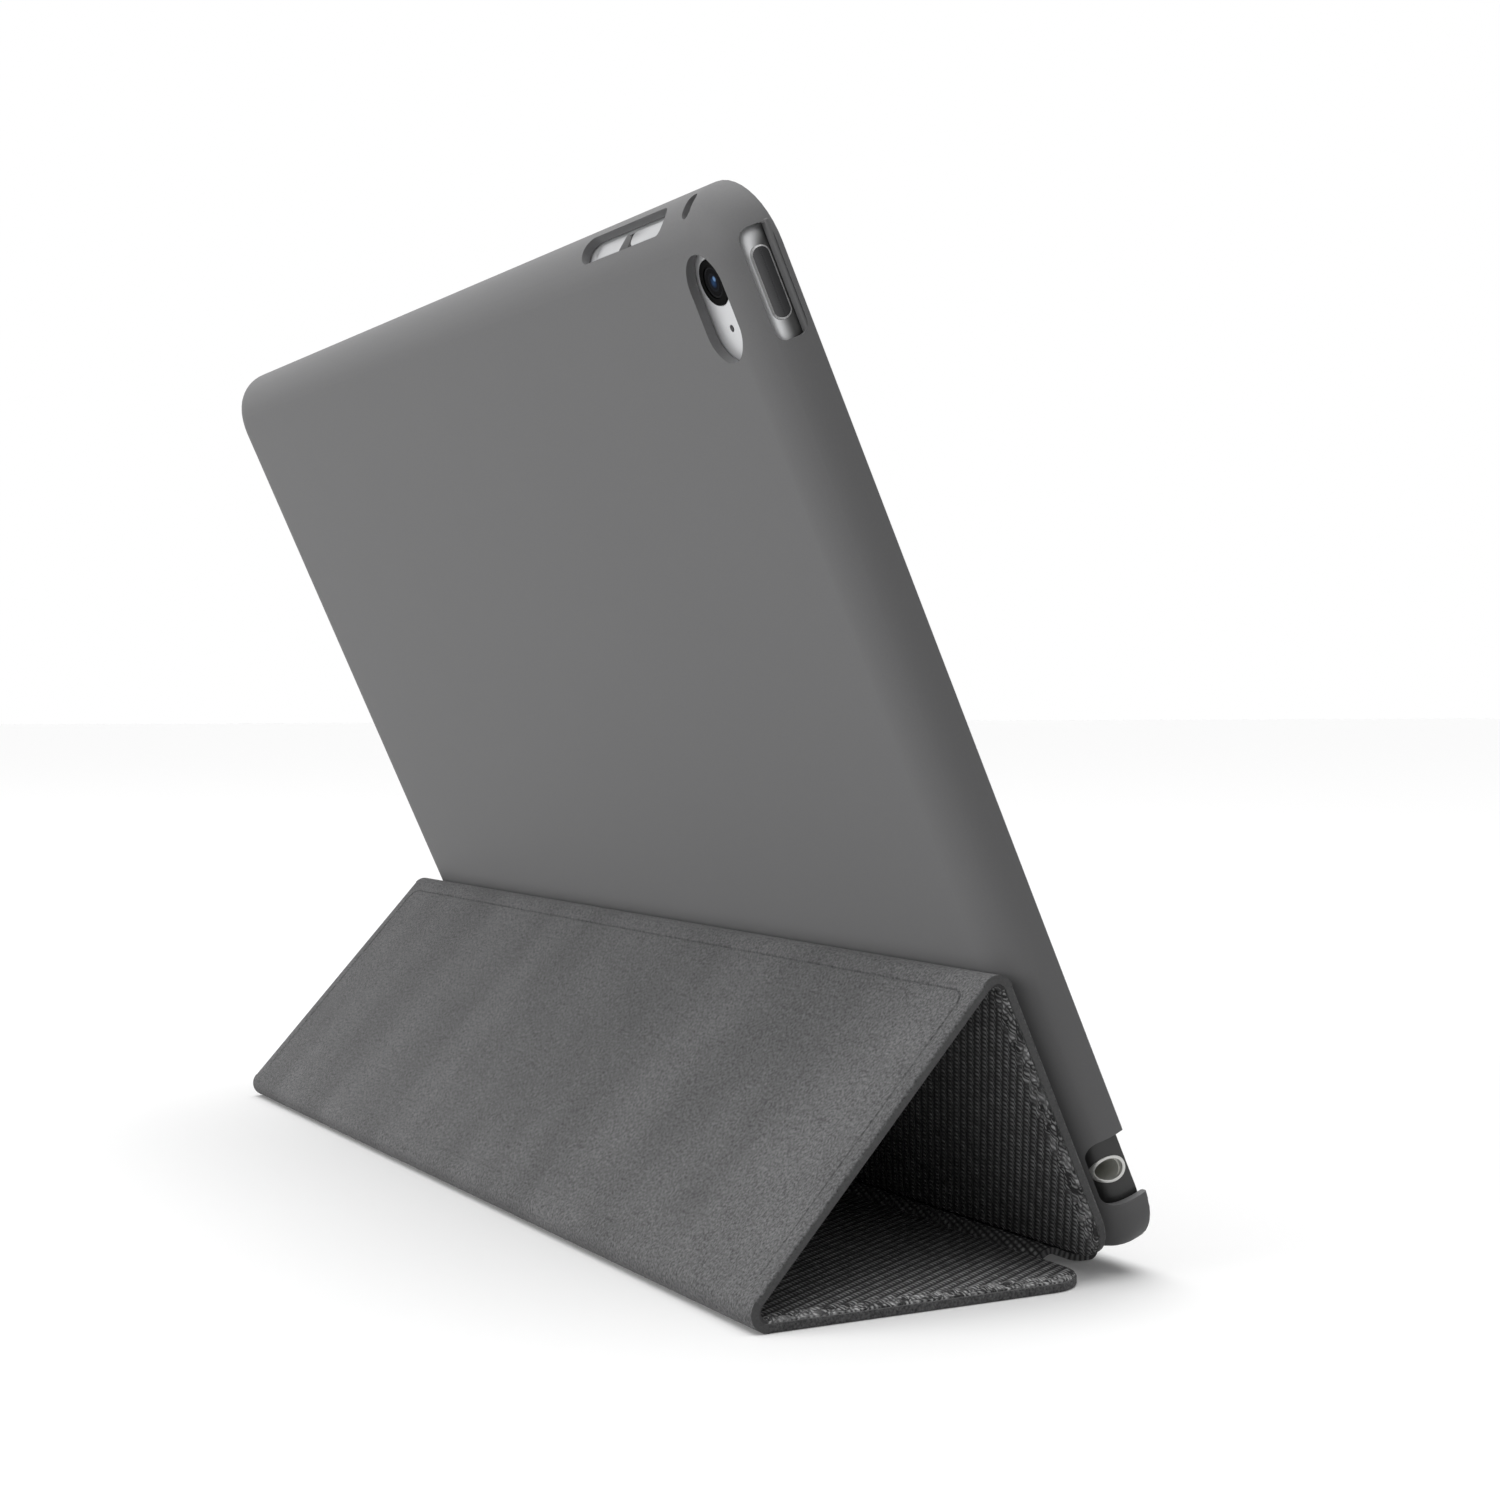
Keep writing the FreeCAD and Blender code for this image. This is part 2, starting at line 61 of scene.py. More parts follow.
def chain(tree):
    """A short hand for a tree's Math nodes: the operation, then its values or sockets."""
    def step(operation, *values):
        node = tree.nodes.new("ShaderNodeMath")
        node.operation = operation
        for index, value in enumerate(values):
            if isinstance(value, (int, float)):
                node.inputs[index].default_value = value
            else:
                tree.links.new(value, node.inputs[index])
        return node.outputs[0]
    return step


def add_socket(group, name, direction, kind, value=None):
    socket = group.interface.new_socket(name=name, in_out=direction, socket_type=kind)
    if value is not None:
        socket.default_value = value


def build_grain_group():
    """Fine grain and slow blotches on a base colour, with a height for a bump."""
    group = bpy.data.node_groups.new("fine_grain", "ShaderNodeTree")
    add_socket(group, "Base", "INPUT", "NodeSocketColor", (0.2, 0.2, 0.2, 1.0))
    add_socket(group, "Grain per metre", "INPUT", "NodeSocketFloat", 2000.0)
    add_socket(group, "Grain contrast", "INPUT", "NodeSocketFloat", 0.1)
    add_socket(group, "Blotch per metre", "INPUT", "NodeSocketFloat", 40.0)
    add_socket(group, "Blotch contrast", "INPUT", "NodeSocketFloat", 0.1)
    add_socket(group, "Color", "OUTPUT", "NodeSocketColor")
    add_socket(group, "Height", "OUTPUT", "NodeSocketFloat")
    nodes, links, step = group.nodes, group.links, chain(group)
    entry = nodes.new("NodeGroupInput")
    leave = nodes.new("NodeGroupOutput")
    place = nodes.new("ShaderNodeTexCoord")
    heights, shades = [], []
    for kind, detail in (("Grain", 3.0), ("Blotch", 4.0)):
        noise = nodes.new("ShaderNodeTexNoise")
        noise.inputs["Detail"].default_value = detail
        links.new(place.outputs["Object"], noise.inputs["Vector"])
        links.new(entry.outputs[kind + " per metre"], noise.inputs["Scale"])
        heights.append(noise.outputs["Fac"])
        centred = step("SUBTRACT", noise.outputs["Fac"], 0.5)
        shades.append(step("MULTIPLY_ADD", centred, entry.outputs[kind + " contrast"], 1.0))
    tint = nodes.new("ShaderNodeVectorMath")
    tint.operation = "SCALE"
    links.new(entry.outputs["Base"], tint.inputs[0])
    links.new(step("MULTIPLY", *shades), tint.inputs["Scale"])
    links.new(tint.outputs["Vector"], leave.inputs["Color"])
    links.new(heights[0], leave.inputs["Height"])
    return group


grain_group = build_grain_group()


def new_finish(name, roughness, metallic=0.0):
    """A material with one Principled shader, ready for its colour and bump."""
    material = bpy.data.materials.new(name)
    material.use_nodes = True
    shader = material.node_tree.nodes["Principled BSDF"]
    shader.inputs["Roughness"].default_value = roughness
    shader.inputs["Metallic"].default_value = metallic
    return material, material.node_tree, shader


def add_bump(tree, shader, height, strength, depth):
    bump = tree.nodes.new("ShaderNodeBump")
    bump.inputs["Strength"].default_value = strength
    bump.inputs["Distance"].default_value = depth
    tree.links.new(height, bump.inputs["Height"])
    tree.links.new(bump.outputs["Normal"], shader.inputs["Normal"])


def use_grain(tree, grain, contrast, blotch, mottle):
    """The grain group in a material; grain and blotch are sizes in metres."""
    use = tree.nodes.new("ShaderNodeGroup")
    use.node_tree = grain_group
    use.inputs["Grain per metre"].default_value = 1 / grain
    use.inputs["Grain contrast"].default_value = contrast
    use.inputs["Blotch per metre"].default_value = 1 / blotch
    use.inputs["Blotch contrast"].default_value = mottle
    return use


def grained(name, colour, roughness, grain, contrast, blotch, mottle, bump, depth, metallic=0.0):
    """A finish whose colour and bump come from the grain group."""
    material, tree, shader = new_finish(name, roughness, metallic)
    use = use_grain(tree, grain, contrast, blotch, mottle)
    use.inputs["Base"].default_value = colour
    tree.links.new(use.outputs["Color"], shader.inputs["Base Color"])
    add_bump(tree, shader, use.outputs["Height"], bump, depth)
    return material


def dress(node, material):
    """Gives a CAD node its finish."""
    slots = frame["nodes"][node].data.materials
    slots.clear()
    slots.append(material)


soft_touch = grained("soft_touch_grey", SHELL_GREY, roughness=0.62, grain=0.00028, contrast=0.10, blotch=0.03,
                     mottle=0.03, bump=0.12, depth=0.00002)
soft_touch.node_tree.nodes["Principled BSDF"].inputs["Specular IOR Level"].default_value = SHELL_GLOSS
dress("rear_shell", soft_touch)

# The tablet's tub is bead-blasted aluminium, milled from one plate with a rolled edge.
# Its two short sides are painted dark as the shade that falls in the shell's windows, most of all low down,
# and the slot between the volume keys is deep and painted dark as the shade in it.
HOUSING_SILVER = (0.62, 0.625, 0.635, 1.0)
SIDE_SHADE_PAINT = (0.050, 0.050, 0.050, 1.0)
ROLL_RADIUS = 0.0058
SIDE_FROM = 0.0010
SIDE_FULL = 0.00015
LOW_SIDE_FROM = 0.0050
LOW_SIDE_FULL = 0.0034
LOW_SIDE_TOP = 0.030
LOW_SIDE_END = 0.045
SLOT_SHADE_PAINT = (0.012, 0.012, 0.012, 1.0)
SLOT_HALF = 0.00110
SLOT_FADE = 0.00010
SLOT_REACH = 0.0016
SLOT_FULL = 0.00128
joints = {joint["name"]: joint for joint in frame["record"]["behaviour"]["joints"]}
sideways = Vector((1, 0, 0))
to_prop = Vector(joints["tablet_lift"]["axis"]).normalized()
up_rest = Vector((0, -to_prop.z, to_prop.y))
lean_angle = math.atan2(up_rest.z, up_rest.y)
tablet_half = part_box("tablet_housing")[1][0]


def mix_colour(tree, factor, low, high):
    """Low where the factor is 0 and high where it is 1; each is a colour or a socket."""
    mix = tree.nodes.new("ShaderNodeMix")
    mix.data_type = "RGBA"
    mix.clamp_factor = True
    tree.links.new(factor, mix.inputs["Factor"])
    for name, value in (("A", low), ("B", high)):
        if isinstance(value, tuple):
            mix.inputs[name].default_value = value
        else:
            tree.links.new(value, mix.inputs[name])
    return mix.outputs["Result"]


def ramp_between(tree, value, start, end):
    """0 at start and 1 at end, smooth between them."""
    ease = tree.nodes.new("ShaderNodeMapRange")
    ease.interpolation_type = "SMOOTHSTEP"
    ease.inputs["From Min"].default_value = start
    ease.inputs["From Max"].default_value = end
    tree.links.new(value, ease.inputs["Value"])
    return ease.outputs["Result"]


def object_axes(tree):
    """The outputs X, Y and Z of a point's place in its object's own axes."""
    place = tree.nodes.new("ShaderNodeTexCoord")
    split = tree.nodes.new("ShaderNodeSeparateXYZ")
    tree.links.new(place.outputs["Object"], split.inputs["Vector"])
    return split.outputs


def paint(material, mask, colour):
    """Lays a colour over a finish where the mask is 1."""
    tree = material.node_tree
    base = tree.nodes["Principled BSDF"].inputs["Base Color"]
    tree.links.new(mix_colour(tree, mask, base.links[0].from_socket, colour), base)


blasted = grained("blasted_aluminium", HOUSING_SILVER, roughness=0.42, grain=0.00012, contrast=0.10, blotch=0.02,
                  mottle=0.04, bump=0.10, depth=0.00001, metallic=0.8)
housing = blasted.node_tree
housing_axes = object_axes(housing)
from_middle = chain(housing)("ABSOLUTE", housing_axes["X"])
in_side_shade = ramp_between(housing, from_middle, tablet_half - SIDE_FROM, tablet_half - SIDE_FULL)
low_down = ramp_between(housing, housing_axes["Z"], LOW_SIDE_END, LOW_SIDE_TOP)
on_edge = ramp_between(housing, from_middle, tablet_half - LOW_SIDE_FROM, tablet_half - LOW_SIDE_FULL)
in_low_side_shade = chain(housing)("MULTIPLY", low_down, on_edge)
# Painted shade: the short sides, and their lower part most, are coloured dark as the shade in the windows.
paint(blasted, chain(housing)("MAXIMUM", in_side_shade, in_low_side_shade), SIDE_SHADE_PAINT)
dress("tablet_housing", blasted)
key_boxes = sorted((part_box("volume_up_button"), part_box("volume_down_button")), key=lambda box: box[0][0])
slot_middle = (key_boxes[0][1][0] + key_boxes[1][0][0]) / 2
key_top = (key_boxes[0][0][2] + key_boxes[0][1][2]) / 2


def paint_slot_shade(material):
    """Paints shade into a finish in the narrow slot between the two volume keys."""
    tree = material.node_tree
    step = chain(tree)
    place = object_axes(tree)
    aside = step("ABSOLUTE", step("SUBTRACT", place["X"], slot_middle))
    level = step("ABSOLUTE", step("SUBTRACT", place["Z"], key_top))
    inside = step("MULTIPLY", ramp_between(tree, aside, SLOT_HALF + SLOT_FADE, SLOT_HALF),
                  ramp_between(tree, level, SLOT_REACH, SLOT_FULL))
    # Painted shade: the dark colour here stands for the shade deep in the slot between the keys.
    paint(material, inside, SLOT_SHADE_PAINT)


paint_slot_shade(blasted)

# The ring round the home key is turned from bar and polished, in the same bright metal as the volume keys.
# The dock connector is stamped steel.
KEY_SILVER = (0.56, 0.565, 0.575, 1.0)
SOCKET_STEEL = (0.52, 0.52, 0.50, 1.0)
bright_key = grained("bright_aluminium", KEY_SILVER, roughness=0.30, grain=0.0002, contrast=0.12, blotch=0.004,
                     mottle=0.10, bump=0.08, depth=0.00001, metallic=0.85)
socket_metal = grained("socket_steel", SOCKET_STEEL, roughness=0.33, grain=0.0002, contrast=0.10, blotch=0.005,
                       mottle=0.10, bump=0.06, depth=0.00001, metallic=0.9)
dress("home_ring", bright_key)
dress("dock_port", socket_metal)

# The power key is a long pill let into the tablet's rolled side, painted dark as shade like the side around it.
# Its rim is cut bright, and its face stands a little proud of the rim.
KEY_RIM = 0.00024
KEY_PROUD = 0.00016
KEY_DEPTH = 0.0012
MERGE = 4e-6
HAIR = 1e-6
POWER_SHADE_PAINT = (0.070, 0.070, 0.072, 1.0)
POWER_DEEP_SHADE_PAINT = (0.012, 0.012, 0.013, 1.0)
POWER_FADE = 0.0008
RIM_BRIGHT = (0.70, 0.70, 0.705, 1.0)
ROLL_CUTS = 7
shade_painted_key = grained("shade_painted_key", POWER_SHADE_PAINT, roughness=0.34, grain=0.0003, contrast=0.15, blotch=0.006, mottle=0.25,
                   bump=0.08, depth=0.00001, metallic=0.6)
cut_rim = grained("cut_rim", RIM_BRIGHT, roughness=0.40, grain=0.0002, contrast=0.10, blotch=0.004, mottle=0.10,
                  bump=0.05, depth=0.00001, metallic=0.3)


def middle_of(node):
    low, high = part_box(node)
    return (Vector(low) + Vector(high)) / 2


def finish_piece(bm, name, materials, place, sharp=0.6):
    """Turns a bmesh drawn in a piece's own axes into a placed object."""
    bmesh.ops.transform(bm, matrix=place, verts=bm.verts)
    bmesh.ops.recalc_face_normals(bm, faces=bm.faces)
    mesh = bpy.data.meshes.new(name)
    for material in materials:
        mesh.materials.append(material)
    bm.to_mesh(mesh)
    bm.free()
    for face in mesh.polygons:
        face.use_smooth = True
    mesh.set_sharp_from_angle(angle=sharp)
    piece = bpy.data.objects.new(name, mesh)
    bpy.context.scene.collection.objects.link(piece)
    return piece


def rounded_face(bm, half_width, near, far, radius):
    """One flat face centred on x, from y near to far, with rounded corners."""
    corners = [bm.verts.new((x, y, 0)) for x, y in
               ((-half_width, near), (half_width, near), (half_width, far), (-half_width, far))]
    bm.faces.new(corners)
    bmesh.ops.bevel(bm, geom=corners, offset=radius, affect="VERTICES", segments=10, profile=0.5, material=-1)
    bm.faces.ensure_lookup_table()
    return bm.faces[0]


def verts_of(result):
    return [item for item in result["geom"] if isinstance(item, bmesh.types.BMVert)]


def rim_of(bm):
    return [edge for edge in bm.edges if edge.is_boundary]


def cut_plane(bm, point, normal, touch, clear_outer=False):
    """Cuts every face at a plane, and drops what lies outside it if asked to."""
    bmesh.ops.bisect_plane(bm, geom=bm.verts[:] + bm.edges[:] + bm.faces[:], dist=touch, plane_co=point,
                           plane_no=normal, clear_outer=clear_outer)


tablet_back = max(Vector(frame["nodes"]["tablet_housing"].matrix_world @ vert.co).dot(to_prop)
                  for vert in frame["nodes"]["tablet_housing"].data.vertices)


def rolled_side(height):
    """How far the rolled side stands out along x at a height above the tablet's back."""
    fall = max(0.0, ROLL_RADIUS - height)
    return tablet_half - ROLL_RADIUS + math.sqrt(ROLL_RADIUS ** 2 - fall ** 2)


def side_axes(centre):
    """Axes on the tablet's near short side: x to the screen, y up the tablet and z out of the side."""
    place = Matrix((-to_prop, up_rest, Vector((-1, 0, 0)))).transposed().to_4x4()
    place.translation = Vector((0, centre.y, centre.z))
    return place, tablet_back - centre.dot(to_prop)


def power_cap():
    """A pill that follows the rolled side, with its face raised inside a cut rim."""
    centre = middle_of("power_button")
    place, height = side_axes(centre)
    low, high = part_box("power_button")
    run = ((high[1] - low[1]) - (high[2] - low[2])) / (math.cos(lean_angle) - math.sin(lean_angle))
    width = (high[1] - low[1]) - run * math.cos(lean_angle)
    bm = bmesh.new()
    face = rounded_face(bm, width / 2, -(run + width) / 2, (run + width) / 2, width / 2 - HAIR)
    bmesh.ops.inset_region(bm, faces=[face], thickness=KEY_RIM, depth=0, use_boundary=True, use_even_offset=True)
    bmesh.ops.remove_doubles(bm, verts=bm.verts, dist=MERGE)
    for other in bm.faces:
        other.material_index = 0 if other is face else 1
    for cut in range(1, ROLL_CUTS):
        cut_plane(bm, (width * (cut / ROLL_CUTS - 0.5), 0, 0), (1, 0, 0), touch=MERGE)
    raised = {vert for face in bm.faces if face.material_index == 0 for vert in face.verts}
    for vert in bm.verts:
        vert.co.z = rolled_side(height + vert.co.x) + (KEY_PROUD if vert in raised else 0)
    wall = bmesh.ops.extrude_edge_only(bm, edges=rim_of(bm))
    underside = min(vert.co.z for vert in bm.verts) - KEY_DEPTH
    for vert in verts_of(wall):
        vert.co.z = underside
    bmesh.ops.holes_fill(bm, edges=rim_of(bm), sides=0)
    return finish_piece(bm, "power_key_cap", (shade_painted_key, cut_rim), place, sharp=0.3)


power_tree = shade_painted_key.node_tree
# Painted shade: the key's face is coloured darker still towards the screen.
deeper_shade_to_screen = ramp_between(power_tree, chain(power_tree)("ABSOLUTE", object_axes(power_tree)["X"]),
                         tablet_half - POWER_FADE, tablet_half + KEY_PROUD)
paint(shade_painted_key, deeper_shade_to_screen, POWER_DEEP_SHADE_PAINT)
cap = power_cap()
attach(cap, "power_key")
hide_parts("power_button")

# The two volume keys are short bars of bright aluminium, let into the rolled upper edge.
# Their edges are softened, and the inner end of the volume-down key is cut back in a slanted facet, painted mid-grey
# as the shade on it.
VOLUME_WIDTH = 0.0026
VOLUME_THICK = 0.0018
VOLUME_EDGE = 0.00025
FACET_START = 0.0011
FACET_LEAN = (-1.0, 0.55, 0.45)
FACET_SHADE_PAINT = (0.27, 0.27, 0.272, 1.0)
# Painted shade: the facet's grey, with the slot's painted shade over it, stands for the shade on the key's end.
facet_shade_finish = grained("shade_painted_key_end", FACET_SHADE_PAINT, roughness=0.45, grain=0.0002, contrast=0.15, blotch=0.003, mottle=0.30,
                  bump=0.06, depth=0.00001, metallic=0.3)
paint_slot_shade(facet_shade_finish)


def raise_block(bm, face, thick, edge):
    """Raises a face into a block and softens its upper edges."""
    top = bmesh.ops.extrude_face_region(bm, geom=[face])
    bmesh.ops.translate(bm, verts=verts_of(top), vec=(0, 0, thick))
    upper = [line for line in bm.edges if all(vert.co.z > thick / 2 for vert in line.verts)]
    bmesh.ops.bevel(bm, geom=upper, offset=edge, affect="EDGES", segments=3, profile=0.5, material=-1)


def volume_cap(node, name, facet):
    """A bar with round ends that looks out of the rolled edge; a facet cuts its inner end back."""
    low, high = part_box(node)
    out = (up_rest + to_prop).normalized()
    across = out.cross(sideways)
    place = Matrix((sideways, across, out)).transposed().to_4x4()
    place.translation = middle_of(node)
    half_length, half_width = (high[0] - low[0]) / 2, VOLUME_WIDTH / 2
    bm = bmesh.new()
    face = rounded_face(bm, half_length, -half_width, half_width, half_width - HAIR)
    bmesh.ops.remove_doubles(bm, verts=bm.verts, dist=MERGE)
    raise_block(bm, face, VOLUME_THICK, VOLUME_EDGE)
    bmesh.ops.translate(bm, verts=bm.verts, vec=(0, 0, -VOLUME_THICK / 2))
    if facet:
        side = math.copysign(1, across.dot(to_prop))
        cut_plane(bm, (FACET_START - half_length, -side * half_width, VOLUME_THICK / 2),
                  (FACET_LEAN[0], side * FACET_LEAN[1], FACET_LEAN[2]), touch=1e-7, clear_outer=True)
        closed = bmesh.ops.holes_fill(bm, edges=rim_of(bm), sides=0)
        for face in closed["faces"]:
            face.material_index = 1
    return finish_piece(bm, name, (bright_key, facet_shade_finish), place, sharp=0.4)


for node, name, body, facet in (("volume_up_button", "volume_up_cap", "volume_up_key", False),
                                ("volume_down_button", "volume_down_cap", "volume_down_key", True)):
    volume_key = volume_cap(node, name, facet)
    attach(volume_key, body)
    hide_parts(node)

# Inside the power window the shell's front rim is moulded down over the tablet's side as a thin lip.
# It is part of the same moulding, in the same soft-touch grey.
LIP_FROM = 0.0053
LIP_TO = 0.0060
LIP_LENGTH = 0.0168
LIP_CLEAR = 0.00010
LIP_THICK = 0.00125
LIP_EDGE = 0.00025


def window_lip():
    place, height = side_axes(middle_of("power_button"))
    bm = bmesh.new()
    face = rounded_face(bm, (LIP_TO - LIP_FROM) / 2, -LIP_LENGTH / 2, LIP_LENGTH / 2, LIP_EDGE)
    raise_block(bm, face, LIP_THICK, LIP_EDGE)
    bmesh.ops.remove_doubles(bm, verts=bm.verts, dist=MERGE)
    bmesh.ops.translate(bm, verts=bm.verts, vec=((LIP_FROM + LIP_TO) / 2 - height, 0, tablet_half + LIP_CLEAR))
    return finish_piece(bm, "power_window_lip", (soft_touch,), place)


lip = window_lip()
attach(lip, "shell")

# The headphone socket is a pale lined barrel, set into the tablet's near short side.
# A bright turned collar sits round its mouth and follows the rolled side.
COLLAR_INNER = 0.00172
COLLAR_OUTER = 0.00222
COLLAR_PROUD = 0.00014
COLLAR_DEPTH = 0.0010
COLLAR_EDGE = 0.00010
COLLAR_STRETCH = (1.12, 0.95)
COLLAR_SHIFT = 0.00012
COLLAR_SILVER = (0.62, 0.62, 0.60, 1.0)
LINING_PALE = (0.62, 0.62, 0.58, 1.0)
collar_metal = grained("turned_collar", COLLAR_SILVER, roughness=0.30, grain=0.0002, contrast=0.08, blotch=0.004,
                       mottle=0.06, bump=0.05, depth=0.00001, metallic=0.6)
barrel_lining = grained("barrel_lining", LINING_PALE, roughness=0.45, grain=0.0003, contrast=0.10, blotch=0.003,
                        mottle=0.10, bump=0.05, depth=0.00001, metallic=0.2)
dress("headphone_jack", barrel_lining)


def socket_collar():
    place, height = side_axes(middle_of("headphone_jack"))
    bm = bmesh.new()
    bmesh.ops.create_circle(bm, cap_ends=False, segments=64, radius=COLLAR_INNER)
    wide = bmesh.ops.extrude_edge_only(bm, edges=bm.edges[:])
    bmesh.ops.scale(bm, verts=verts_of(wide), vec=(COLLAR_OUTER / COLLAR_INNER, COLLAR_OUTER / COLLAR_INNER, 1))
    bmesh.ops.scale(bm, verts=bm.verts, vec=(*COLLAR_STRETCH, 1))
    bmesh.ops.translate(bm, verts=bm.verts, vec=(COLLAR_SHIFT, 0, 0))
    deep = bmesh.ops.extrude_face_region(bm, geom=bm.faces[:])
    bmesh.ops.translate(bm, verts=verts_of(deep), vec=(0, 0, -COLLAR_DEPTH))
    for vert in bm.verts:
        vert.co.z += rolled_side(height + vert.co.x) + COLLAR_PROUD
    bmesh.ops.recalc_face_normals(bm, faces=bm.faces)
    front = [face for face in bm.faces if all(
        abs(vert.co.z - rolled_side(height + vert.co.x) - COLLAR_PROUD) < HAIR for vert in face.verts)]
    outer_edges = [edge for edge in bm.edges if sum(face in front for face in edge.link_faces) == 1]
    bmesh.ops.bevel(bm, geom=outer_edges, offset=COLLAR_EDGE, affect="EDGES", segments=2, profile=0.5, material=-1)
    return finish_piece(bm, "socket_collar", (collar_metal,), place, sharp=0.5)


collar = socket_collar()
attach(collar, "tablet")

# The front is one sheet of black-backed glass, bonded over the tub, with the unlit display behind it.
# The home key is a dished disc in gloss black, and the panel and modules behind the glass are black too.
GLASS_BLACK = (0.003, 0.003, 0.003, 1.0)
DISPLAY_DARK = (0.014, 0.015, 0.019, 1.0)
DISPLAY_HALF = (0.0985, 0.0739)
DISPLAY_EDGE = 0.0002
GLASS_IOR = 1.34
GLOSS_BLACK = (0.010, 0.010, 0.011, 1.0)
front_glass = grained("black_glass", GLASS_BLACK, roughness=0.06, grain=0.0005, contrast=0.02, blotch=0.05,
                      mottle=0.05, bump=0.0, depth=0.00001)
gloss_black = grained("gloss_black", GLOSS_BLACK, roughness=0.16, grain=0.0003, contrast=0.10, blotch=0.004,
                      mottle=0.10, bump=0.04, depth=0.00001)


def offsets_from(tree, centre, directions):
    """How far a point lies from a centre along each direction."""
    place = tree.nodes.new("ShaderNodeTexCoord")
    to_centre = tree.nodes.new("ShaderNodeVectorMath")
    to_centre.operation = "SUBTRACT"
    to_centre.inputs[1].default_value = centre
    tree.links.new(place.outputs["Object"], to_centre.inputs[0])
    offsets = []
    for direction in directions:
        part = tree.nodes.new("ShaderNodeVectorMath")
        part.operation = "DOT_PRODUCT"
        part.inputs[1].default_value = direction
        tree.links.new(to_centre.outputs["Vector"], part.inputs[0])
        offsets.append(part.outputs["Value"])
    return offsets


def show_display(material):
    """The unlit display shows through the glass a little paler than the printed border."""
    tree = material.node_tree
    step = chain(tree)
    inside = 1.0
    offsets = offsets_from(tree, middle_of("display_glass"), (sideways, up_rest))
    for offset, half in zip(offsets, DISPLAY_HALF):
        within = ramp_between(tree, step("ABSOLUTE", offset), half + DISPLAY_EDGE, half - DISPLAY_EDGE)
        inside = step("MULTIPLY", within, inside)
    paint(material, inside, DISPLAY_DARK)
    tree.nodes["Principled BSDF"].inputs["IOR"].default_value = GLASS_IOR


show_display(front_glass)
dress("display_glass", front_glass)
for node in ("home_button", "camera_module", "front_camera", "speaker_modules", "display_panel"):
    dress(node, gloss_black)

# The rear camera is coated glass in a black anodised ring, set into the back of the tub.
# The glass shows the dark rings of the barrel under it; its blue middle and its blue glint are a painted reflection.
LENS_RINGS_AND_REFLECTION = (
    (0.0, (0.020, 0.060, 0.150, 1.0)),
    (0.22, (0.012, 0.030, 0.075, 1.0)),
    (0.38, (0.003, 0.004, 0.008, 1.0)),
    (0.55, (0.010, 0.011, 0.014, 1.0)),
    (0.62, (0.002, 0.002, 0.003, 1.0)),
    (0.86, (0.002, 0.002, 0.003, 1.0)),
    (0.92, (0.016, 0.016, 0.018, 1.0)),
    (1.0, (0.003, 0.003, 0.003, 1.0)),
)
PAINTED_GLINT_BLUE = (0.16, 0.30, 0.55, 1.0)
GLINT_PLACE = (-0.22, 0.20)
GLINT_SIZE = 0.22
LENS_IOR = 1.06
RING_BLACK = (0.004, 0.004, 0.004, 1.0)
ring_black = grained("anodised_black", RING_BLACK, roughness=0.40, grain=0.0003, contrast=0.10, blotch=0.004,
                     mottle=0.10, bump=0.04, depth=0.00001)
ring_black.node_tree.nodes["Principled BSDF"].inputs["IOR"].default_value = LENS_IOR
dress("camera_ring", ring_black)
lens_low, lens_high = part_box("camera_lens")
lens_radius = (lens_high[0] - lens_low[0]) / 2


def build_lens():
    """Rings about the lens's axis, the inner ones painted blue as a reflection, with a painted soft glint off its
    middle; distances are shares of its radius.
    """
    material, tree, shader = new_finish("coated_lens", roughness=0.10)
    step = chain(tree)

    def distance(pair):
        return step("SQRT", step("ADD", *(step("MULTIPLY", part, part) for part in pair)))

    flat = offsets_from(tree, middle_of("camera_lens"), (sideways / lens_radius, up_rest / lens_radius))
    rings = tree.nodes.new("ShaderNodeValToRGB")
    bands = rings.color_ramp.elements
    bands[0].position, bands[0].color = LENS_RINGS_AND_REFLECTION[0]
    bands[1].position, bands[1].color = LENS_RINGS_AND_REFLECTION[-1]
    for position, colour in LENS_RINGS_AND_REFLECTION[1:-1]:
        bands.new(position).color = colour
    tree.links.new(distance(flat), rings.inputs["Fac"])
    off_glint = distance([step("SUBTRACT", part, middle) for part, middle in zip(flat, GLINT_PLACE)])
    glint = ramp_between(tree, off_glint, GLINT_SIZE, GLINT_SIZE / 3)
    tree.links.new(mix_colour(tree, glint, rings.outputs["Color"], PAINTED_GLINT_BLUE), shader.inputs["Base Color"])
    shader.inputs["IOR"].default_value = LENS_IOR
    return material


dress("camera_lens", build_lens())

# Inside the tub lie battery cells wrapped in dark film and a green circuit board.
# Both are fixed down under the display panel and do not show.
FILM_GREY = (0.05, 0.05, 0.052, 1.0)
BOARD_GREEN = (0.02, 0.07, 0.035, 1.0)
cell_film = grained("cell_film", FILM_GREY, roughness=0.35, grain=0.0006, contrast=0.2, blotch=0.02, mottle=0.2,
                    bump=0.1, depth=0.00002)
solder_mask = grained("solder_mask", BOARD_GREEN, roughness=0.35, grain=0.0008, contrast=0.3, blotch=0.01, mottle=0.3,
                      bump=0.1, depth=0.00002)
dress("battery_cells", cell_film)
dress("logic_board", solder_mask)

